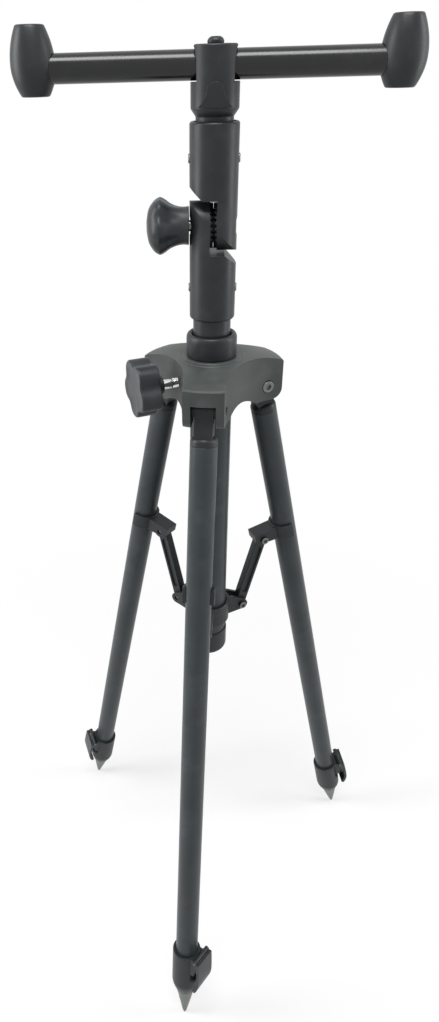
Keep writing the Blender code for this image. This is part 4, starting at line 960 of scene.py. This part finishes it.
def make_teeth():
    """Radial ridges on the rim of a raised disc, which closes the view through the joint."""
    bm = bmesh.new()
    steps = TEETH * 4
    heights = (1.0, 0.55, 0.12, 0.55)
    bore = 6.4
    disc = 11.5
    inner = 11.6
    outer = 15.6
    foot = -EAR_FACE / 2.0
    rings = []
    for radius, top in ((bore, foot), (outer, foot), (outer, None), (inner, None),
                        (disc, DISC_CREST), (bore, DISC_CREST)):
        ring = []
        for i in range(steps):
            angle = 2.0 * math.pi * i / steps
            z = TOOTH_CREST * heights[i % len(heights)] if top is None else top
            ring.append(bm.verts.new((radius * math.cos(angle) * MM, radius * math.sin(angle) * MM, z * MM)))
        rings.append(ring)
    for low, high in zip(rings, rings[1:] + rings[:1]):
        for i in range(steps):
            j = (i + 1) % steps
            bm.faces.new((low[i], low[j], high[j], high[i]))
    return bm


def make_knuckle():
    shoulder = KNUCKLE_R + 1.2
    slope = 9.0
    edge = 1.8
    head_bore = 6.7
    rim = arc((KNUCKLE_R - edge, KNUCKLE_RISE - edge), edge, 0.0, 90.0, 6)
    knuckle = as_object(revolve([(0.0, -shoulder), (KNUCKLE_R, -shoulder)] + rim + [(0.0, KNUCKLE_RISE)], 96))
    lap = [(EAR_FACE, -FAR), (EAR_FACE, shoulder), (-KNUCKLE_R + slope, shoulder),
           (-KNUCKLE_R - 1.0, shoulder + slope), (-FAR, shoulder + slope), (-FAR, -FAR)]
    cut(knuckle, slab(lap, FAR))
    outside = [(-FAR, 0.0)] + arc((0.0, 0.0), EAR_R, 180.0, 360.0, 48)
    outside += [(FAR, 0.0), (FAR, -FAR), (-FAR, -FAR)]
    cut(knuckle, slab(outside, FAR, turn(90.0, "Z")))
    soften(knuckle, 0.5)
    unite(knuckle, turned(make_teeth(), shift(EAR_FACE) @ turn(-90.0, "Y")))
    cut(knuckle, drill(STUD_BORE, ALONG_X),
        turned(rod(head_bore, KNUCKLE_R - BOLT_SINK, FAR, 48), ALONG_X),
        rod(COLUMN_R + SEAT, KNUCKLE_RISE - SOCKET_DEPTH, KNUCKLE_RISE + FAR, ROUND),
        drill(CROSS_BORE, shift(z=PIN_RISE) @ ALONG_X))
    return soften(knuckle)


knuckle = make_knuckle()
print("knuckle faces:", len(knuckle.data.polygons))
place((knuckle, moulded, "upper_knuckle", "head", tilt_frame),
      (knuckle, moulded, "lower_knuckle", "column", tilt_frame @ turn(180.0, "Y")))

# %% Cross pins and tilt bolt
def make_cross_pin():
    edge = 0.9
    reach = KNUCKLE_R + edge
    end = arc((CROSS_BORE - SEAT - edge, reach - edge), edge, 0.0, 90.0, 5)
    other = [(r, -z) for r, z in reversed(end)]
    return lathe([(0.0, -reach)] + other + end + [(0.0, reach)], 40)


cross_pin = make_cross_pin()
head_seat = KNUCKLE_R - BOLT_SINK + SEAT
place((cross_pin, dark_steel, "upper_cross_pin", "head", tilt_frame @ shift(z=PIN_RISE) @ ALONG_X),
      (cross_pin, dark_steel, "lower_cross_pin", "column", tilt_frame @ shift(z=-PIN_RISE) @ ALONG_X),
      (make_bolt(4.0, 6.2, 4.0, head_seat + KNUCKLE_R + 13.5), dark_steel, "tilt_bolt", "head",
       tilt_frame @ ALONG_X @ shift(z=head_seat)))

# %% Column tube
column_low, column_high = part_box("column_tube")


def make_column():
    low = (column_low.z - tilt_frame.translation.z) / MM
    high = (column_high.z - tilt_frame.translation.z) / MM
    column = as_object(ring_shape(COLUMN_R, COLUMN_R - 1.5, low, high, 96))
    cut(column, drill(CROSS_BORE, shift(z=-PIN_RISE) @ ALONG_X))
    return soften(column)


place((make_column(), column_satin, "column_tube", "column", tilt_frame))

# %% [markdown]
# Two knobs clamp the joints. The tilt knob is a bell that swells from a neck to a lobed rim.
# The hub knob is a five-lobed star with flat faces on a short neck, and a bright stud runs
# from it into the hub. Lobes come from scaling the radius with the angle as it is revolved.

# %% Tilt knob
TILT_KNOB_GAP = 0.5
NUT_R = 7.0
NUT_END = 13.0
knob_frame = tilt_frame @ shift(-KNUCKLE_R - TILT_KNOB_GAP) @ turn(-90.0, "Y")


def make_tilt_knob():
    neck = 13.3
    full = 20.3
    length = 31.0
    swell = full - neck
    bell = [(neck - 0.5, 0.0), (neck, 0.5), (neck - 0.3, 0.12 * length),
            (neck + 0.5, 0.26 * length), (neck + 0.35 * swell, 0.42 * length),
            (neck + 0.78 * swell, 0.56 * length), (full, 0.66 * length), (0.975 * full, 0.73 * length),
            (0.86 * full, 0.83 * length), (0.60 * full, 0.94 * length), (0.28 * full, 0.99 * length)]

    def lobes(angle, z):
        depth = 0.11 * math.sin(math.pi * min(1.0, max(0.0, (z / length - 0.12) / 0.86))) ** 1.2
        wave = 0.5 + 0.5 * math.cos(6 * angle)
        return 1.0 - depth * wave ** 1.5

    profile = [(0.0, 0.0)] + smooth_profile(bell, 5) + [(0.0, length)]
    knob = as_object(revolve(profile, 144, lobes))
    cut(knob, rod(NUT_R + SEAT, -FAR, NUT_END + SEAT, 48))
    return soften(knob)


def make_knob_insert():
    """The brass nut, sunk a little so that none of it shows at the joint."""
    sunk = 0.8
    return soften(as_object(ring_shape(NUT_R, STUD_BORE, sunk, NUT_END, 48)))


place((make_tilt_knob(), knob_rubbed, "tilt_knob", "tilt_knob", knob_frame),
      (make_knob_insert(), brass, "tilt_knob_insert", "tilt_knob", knob_frame))

# %% Hub knob and its stud
stud_axis = joint_axis("hub_knob_turn")
down = Vector((0.0, 0.0, -1.0))
stud_frame = frame_of(joint_place("hub_knob_turn"), down, stud_axis.cross(down), stud_axis)
HUB_KNOB_NECK = 7.0
HUB_KNOB_THICK = 17.0
HUB_KNOB_NEAR = 58.6 - HUB_KNOB_THICK / 2.0 - HUB_KNOB_NECK
STUD_IN_KNOB = 8.0


def make_hub_knob():
    rim = 23.5
    face = HUB_KNOB_NECK + HUB_KNOB_THICK
    neck_r = 7.6

    def lobes(angle, z):
        if z < HUB_KNOB_NECK - 0.1:
            return 1.0
        wave = 0.5 + 0.5 * math.cos(5 * angle)
        return 1.0 - 0.20 * (1.0 - wave) ** 1.6

    back = arc((rim - 1.2, HUB_KNOB_NECK + 1.2), 1.2, -90.0, 0.0, 4)
    front = arc((rim - 1.6, face - 1.6), 1.6, 0.0, 90.0, 5)
    profile = [(0.0, 0.0), (neck_r - 0.5, 0.0), (neck_r, 0.5), (neck_r + 0.2, 5.5),
               (neck_r + 1.4, HUB_KNOB_NECK - 0.2), (neck_r + 2.4, HUB_KNOB_NECK)]
    dish = [(rim - 5.0, face - 0.1), (rim - 7.0, face - 0.6), (0.0, face - 0.6)]
    knob = as_object(revolve(profile + back + front + dish, 160, lobes))
    cut(knob, rod(STUD_BORE, -FAR, HUB_KNOB_NECK + STUD_IN_KNOB))
    return soften(knob)


def make_stud():
    end = HUB_KNOB_NEAR + HUB_KNOB_NECK + STUD_IN_KNOB - SEAT
    pitch = 1.25
    profile = [(0.0, GUIDE_R), (3.2, GUIDE_R), (3.9, GUIDE_R + 0.8)]
    z = GUIDE_R + 1.4
    while z < HUB_KNOB_NEAR - 9.0:
        profile += [(3.95, z), (3.45, z + pitch / 2.0)]
        z += pitch
    profile += [(3.95, z), (4.0, z + 0.4), (4.0, end), (0.0, end)]
    return lathe(profile, 40)


place((make_hub_knob(), knob_rubbed, "hub_knob", "hub_knob", stud_frame @ shift(z=HUB_KNOB_NEAR)),
      (make_stud(), chrome, "hub_knob_stud", "hub_knob", stud_frame))

# %% [markdown]
# The head holds the crossbar. Under the bar it is a round block with an arched boss on its
# front. Above the block it is flattened on both sides, and it opens again to a soft rim over
# the bar. The bar passes through a cross bore, and a domed screw from above locks it.

# %% Crossbar head and its screw
BAR_R = 9.0
bar_rise = (bar_frame.translation.z - tilt_frame.translation.z) / MM
knuckle_top = KNUCKLE_RISE - bar_rise
CAP_RISE = 11.4
CAP_BORE = 2.8


def make_head():
    block_r = 16.5
    rim_r = 14.2
    waist_r = 12.4
    shoulder = -9.6
    block_low = knuckle_top + 7.8
    spigot_low = knuckle_top - SOCKET_DEPTH + SEAT
    neck_low = knuckle_top - 2.6
    neck_r = 13.1
    bevel = 0.65
    cone = smooth_profile([(neck_r, neck_low + 5.0), (13.5, neck_low + 5.9),
                           (15.8, block_low - 1.4), (block_r, block_low)], 5)
    lower = [(0.0, spigot_low), (COLUMN_R - bevel, spigot_low), (COLUMN_R, spigot_low + bevel),
             (COLUMN_R, neck_low), (neck_r, neck_low + bevel)]
    head = as_object(revolve(lower + cone + [(block_r, shoulder), (0.0, shoulder)], 96))
    edge = 1.3
    rim_low = CAP_RISE - edge
    side = [(waist_r, shoulder - edge)]
    side += smooth_profile([(waist_r, 0.0), (waist_r + 0.2, 3.0), (rim_r - 0.5, rim_low - edge),
                            (rim_r, rim_low), (rim_r - 0.3, rim_low + 0.9), (rim_r - edge, CAP_RISE)], 4)
    upper = as_object(slab(side + mirrored(side), FAR))
    keep(upper, revolve([(0.0, -FAR), (block_r, -FAR)] + arc((block_r - edge, rim_low), edge, 0.0, 90.0, 6)
                        + [(0.0, CAP_RISE)], 96))
    low = block_low + bevel
    arch_at = -15.0
    rise = arch_at - low
    foot = smooth_profile([(11.6, low), (9.1, low + 0.3 * rise), (6.7, low + 0.7 * rise)], 5)
    arch = foot + arc((0.0, arch_at), 5.6, 0.0, 180.0, 24) + mirrored(foot)
    boss = soften(as_object(turned(prism(arch, block_r / 2.0, block_r + 1.4), ALONG_Y)), 0.7)
    for shape in (upper, boss):
        added = bmesh.new()
        added.from_mesh(shape.data)
        bpy.data.objects.remove(shape, do_unlink=True)
        unite(head, added)
    cut(head, turned(rod(BAR_R + SEAT, -FAR, FAR, ROUND), ALONG_X), rod(CAP_BORE, 0.0, FAR),
        drill(CROSS_BORE, shift(z=PIN_RISE - bar_rise) @ ALONG_X))
    return soften(head, 0.5)


def make_cap_screw():
    seat = CAP_RISE + SEAT
    shank_r = CAP_BORE - SEAT
    end = 4.8
    head_r = 5.5
    profile = [(0.0, end), (shank_r, end), (shank_r, seat), (head_r - 0.3, seat), (head_r, seat + 0.3)]
    profile += smooth_profile([(head_r, seat + 1.4), (5.1, seat + 2.3), (4.1, seat + 3.3),
                               (2.8, seat + 3.9)], 4)
    screw = as_object(revolve(profile + [(0.0, seat + 4.0)], 48))
    cut(screw, prism(arc((0.0, 0.0), 2.3, 0.0, 300.0, 5), seat + 2.0, FAR))
    return soften(screw, 0.15, 2)


place((make_head(), moulded, "crossbar_head", "head", bar_frame),
      (make_cap_screw(), moulded, "crossbar_screw", "head", bar_frame))

# %% [markdown]
# The crossbar is a length of polished black tube. Each end goes into a moulded barrel, and a
# brass insert with a coarse thread in its mouth takes a rod rest or an alarm. The thread is
# a set of fine rings here: from a step away that is all one sees of it.

# %% Crossbar, barrels and threaded inserts
HALF_SPAN = 121.0
BAR_IN = 6.0
END_UP = 25.0
END_DOWN = 16.0
INSERT_R = 6.6
INSERT_LENGTH = 14.0


def make_bar():
    half = HALF_SPAN - BAR_IN
    bar = as_object(ring_shape(BAR_R, BAR_R - 1.2, -half, half, 96))
    cut(bar, turned(rod(CAP_BORE, 0.0, FAR), turn(-90.0, "Y")))
    return soften(bar)


def barrel_radius(z):
    belly = 2.0
    reach = END_UP - belly if z > belly else END_DOWN + belly
    return 15.0 - 5.6 * ((z - belly) / reach) ** 2


def make_barrel(side):
    steps = 28
    edge = 0.7
    low = -END_DOWN
    points = [(barrel_radius(low) - edge, low), (barrel_radius(low) - 0.2, low + 0.2)]
    for i in range(steps + 1):
        z = low + edge + (END_UP - low - 2.0 * edge) * i / steps
        points.append((barrel_radius(z), z))
    points += [(barrel_radius(END_UP) - 0.2, END_UP - 0.2), (barrel_radius(END_UP) - edge, END_UP)]
    barrel = as_object(revolve([(0.0, low)] + points + [(0.0, END_UP)], 96))
    start = -FAR if side > 0 else BAR_IN - SEAT
    end = -BAR_IN + SEAT if side > 0 else FAR
    cut(barrel, turned(rod(BAR_R + SEAT, start, end, ROUND), ALONG_X))
    cut(barrel, rod(INSERT_R + SEAT, END_UP - INSERT_LENGTH - SEAT, FAR, 48))
    return soften(barrel, 0.35)


def make_insert():
    low = END_UP - INSERT_LENGTH
    pitch = 1.27
    bore = 4.2
    profile = [(bore, low), (INSERT_R, low), (INSERT_R, END_UP - 0.4), (INSERT_R - 0.4, END_UP),
               (bore + 0.7, END_UP)]
    z = END_UP - 0.7
    while z > low + pitch:
        profile += [(bore, z), (bore + 0.55, z - pitch / 2.0)]
        z -= pitch
    return lathe(profile + [(bore, z)], 48, True)


left_end = bar_frame @ shift(-HALF_SPAN)
right_end = bar_frame @ shift(HALF_SPAN)
insert = make_insert()
place((make_bar(), bar_gloss, "crossbar_tube", "head", bar_frame @ ALONG_X),
      (make_barrel(-1), moulded, "bar_end_left", "head", left_end),
      (insert, brass, "socket_insert_left", "head", left_end),
      (make_barrel(1), moulded, "bar_end_right", "head", right_end),
      (insert, brass, "socket_insert_right", "head", right_end))

# %% [markdown]
# Two small pieces hide inside: the pad that the hub knob presses on the column, and the bush
# the column turns on. Their CAD solids are right as they are, so they only get a finish.

# %% Hidden pieces
for node in ("clamp_pad", "column_stop_bush"):
    piece = frame["nodes"][node]
    piece.data.materials.clear()
    piece.data.materials.append(white_nylon)
shown = [name for name, node in frame["nodes"].items() if not node.hide_render]
print("pieces made:", len(made), "CAD pieces shown:", sorted(shown))

# %% [markdown]
# The photograph looks down on the tripod from in front and above, close enough for strong
# perspective. The camera was solved from the edges of the legs, the column and the bar: its
# place is given from the column's axis on the ground, and its angles as yaw, pitch and roll.
# The shift moves the picture's centre off the lens axis, because the photograph was cropped.

# %% Camera
PICTURE = (439.0, 1022.0)
LENS_CENTRE = (159.891, 498.274)
FOCAL_PIXELS = 707.462
CAMERA_FROM_COLUMN = Vector((54.12, -543.228, 858.1)) * MM
YAW, PITCH, ROLL = (math.radians(a) for a in (-10.378, -31.332, -1.637))


def make_camera():
    ahead = Vector((math.sin(YAW) * math.cos(PITCH), math.cos(YAW) * math.cos(PITCH), math.sin(PITCH)))
    level = Vector((math.cos(YAW), -math.sin(YAW), 0.0))
    above = level.cross(ahead)
    right = math.cos(ROLL) * level + math.sin(ROLL) * above
    top = -math.sin(ROLL) * level + math.cos(ROLL) * above
    data = bpy.data.cameras.new("photo_camera")
    camera = bpy.data.objects.new("photo_camera", data)
    bpy.context.scene.collection.objects.link(camera)
    camera.matrix_world = frame_of(Vector((column_at.x, column_at.y, 0.0)) + CAMERA_FROM_COLUMN,
                                   right, top, -ahead)
    data.lens = FOCAL_PIXELS / PICTURE[1] * data.sensor_width
    data.shift_x = (PICTURE[0] / 2.0 - LENS_CENTRE[0]) / PICTURE[1]
    data.shift_y = -(PICTURE[1] / 2.0 - LENS_CENTRE[1]) / PICTURE[1]
    data.clip_start = 0.01
    data.clip_end = 50.0
    bpy.context.scene.camera = camera
    return camera


camera = make_camera()
print("camera at", [round(v, 3) for v in camera.matrix_world.translation], "lens", round(camera.data.lens, 2))

# %% [markdown]
# The studio is a white floor, a white surround and three soft boxes. The surround lights the
# object only moderately, but the camera and mirror-like surfaces see it as plain white: that
# gives the light rims along every dark tube. The narrow soft box overhead gives the crossbar
# its band of light and lifts the hub's upper face, and the two at the sides model the legs.
# The floor keeps the shadows near the feet and fades to plain white further out.

# %% Floor, surround and lamps
WORLD_LIGHT = 0.3
FLOOR_FILL = 0.62
FADE_FROM = 0.25
FADE_TO = 0.8


def seen_directly(tree):
    """1 where a camera, mirror or glass ray looks, 0 where light bounces."""
    path = add_node(tree, "LightPath").outputs
    seen = math_node(tree, "MAXIMUM", path["Is Camera Ray"], path["Is Glossy Ray"])
    return math_node(tree, "MAXIMUM", seen, path["Is Transmission Ray"])


def make_world():
    world = bpy.data.worlds.new("studio")
    world.use_nodes = True
    bpy.context.scene.world = world
    tree = world.node_tree
    background = tree.nodes["Background"].inputs
    background["Color"].default_value = (1.0, 1.0, 1.0, 1.0)
    feed(tree, background["Strength"],
         math_node(tree, "MULTIPLY_ADD", seen_directly(tree), 1.0 - WORLD_LIGHT, WORLD_LIGHT))


def make_floor():
    bpy.ops.mesh.primitive_plane_add(size=30.0, location=(column_at.x, column_at.y, -0.0005))
    floor = bpy.context.object
    floor.name = "studio_floor"
    material = bpy.data.materials.new("white_floor")
    material.use_nodes = True
    tree = material.node_tree
    shader = tree.nodes["Principled BSDF"]
    for label, value in (("Base Color", (0.96, 0.96, 0.96, 1.0)), ("Roughness", 0.9),
                         ("Specular IOR Level", 0.1)):
        shader.inputs[label].default_value = value
    far = add_node(tree, "VectorMath")
    far.operation = "LENGTH"
    feed(tree, far.inputs[0], object_place(tree))
    fade = ramp(tree, far.outputs["Value"], FADE_FROM, FADE_TO)
    fill = math_node(tree, "MULTIPLY_ADD", fade, 1.0 - FLOOR_FILL, FLOOR_FILL)
    mix = add_node(tree, "MixShader", Fac=math_node(tree, "MULTIPLY", fill, seen_directly(tree)))
    feed(tree, mix.inputs[1], shader.outputs["BSDF"])
    feed(tree, mix.inputs[2], add_node(tree, "Emission").outputs["Emission"])
    feed(tree, tree.nodes["Material Output"].inputs["Surface"], mix.outputs["Shader"])
    floor.data.materials.append(material)


def soft_box(name, place_at, target, width, height, power):
    data = bpy.data.lights.new(name, "AREA")
    data.shape = "RECTANGLE"
    data.size = width
    data.size_y = height
    data.energy = power
    lamp = bpy.data.objects.new(name, data)
    bpy.context.scene.collection.objects.link(lamp)
    lamp.location = place_at
    lamp.rotation_euler = (Vector(target) - Vector(place_at)).to_track_quat("-Z", "Y").to_euler()


make_world()
make_floor()
soft_box("overhead_box", (0.0, -0.30, 1.85), (0.0, 0.03, 0.8), 0.8, 0.44, 13.5)
soft_box("left_box", (-1.25, -0.20, 0.95), (0.0, 0.0, 0.45), 0.5, 1.3, 15.0)
soft_box("right_box", (1.1, 0.20, 0.85), (0.0, 0.0, 0.45), 0.3, 1.2, 7.0)
bpy.context.scene.view_settings.view_transform = "Standard"
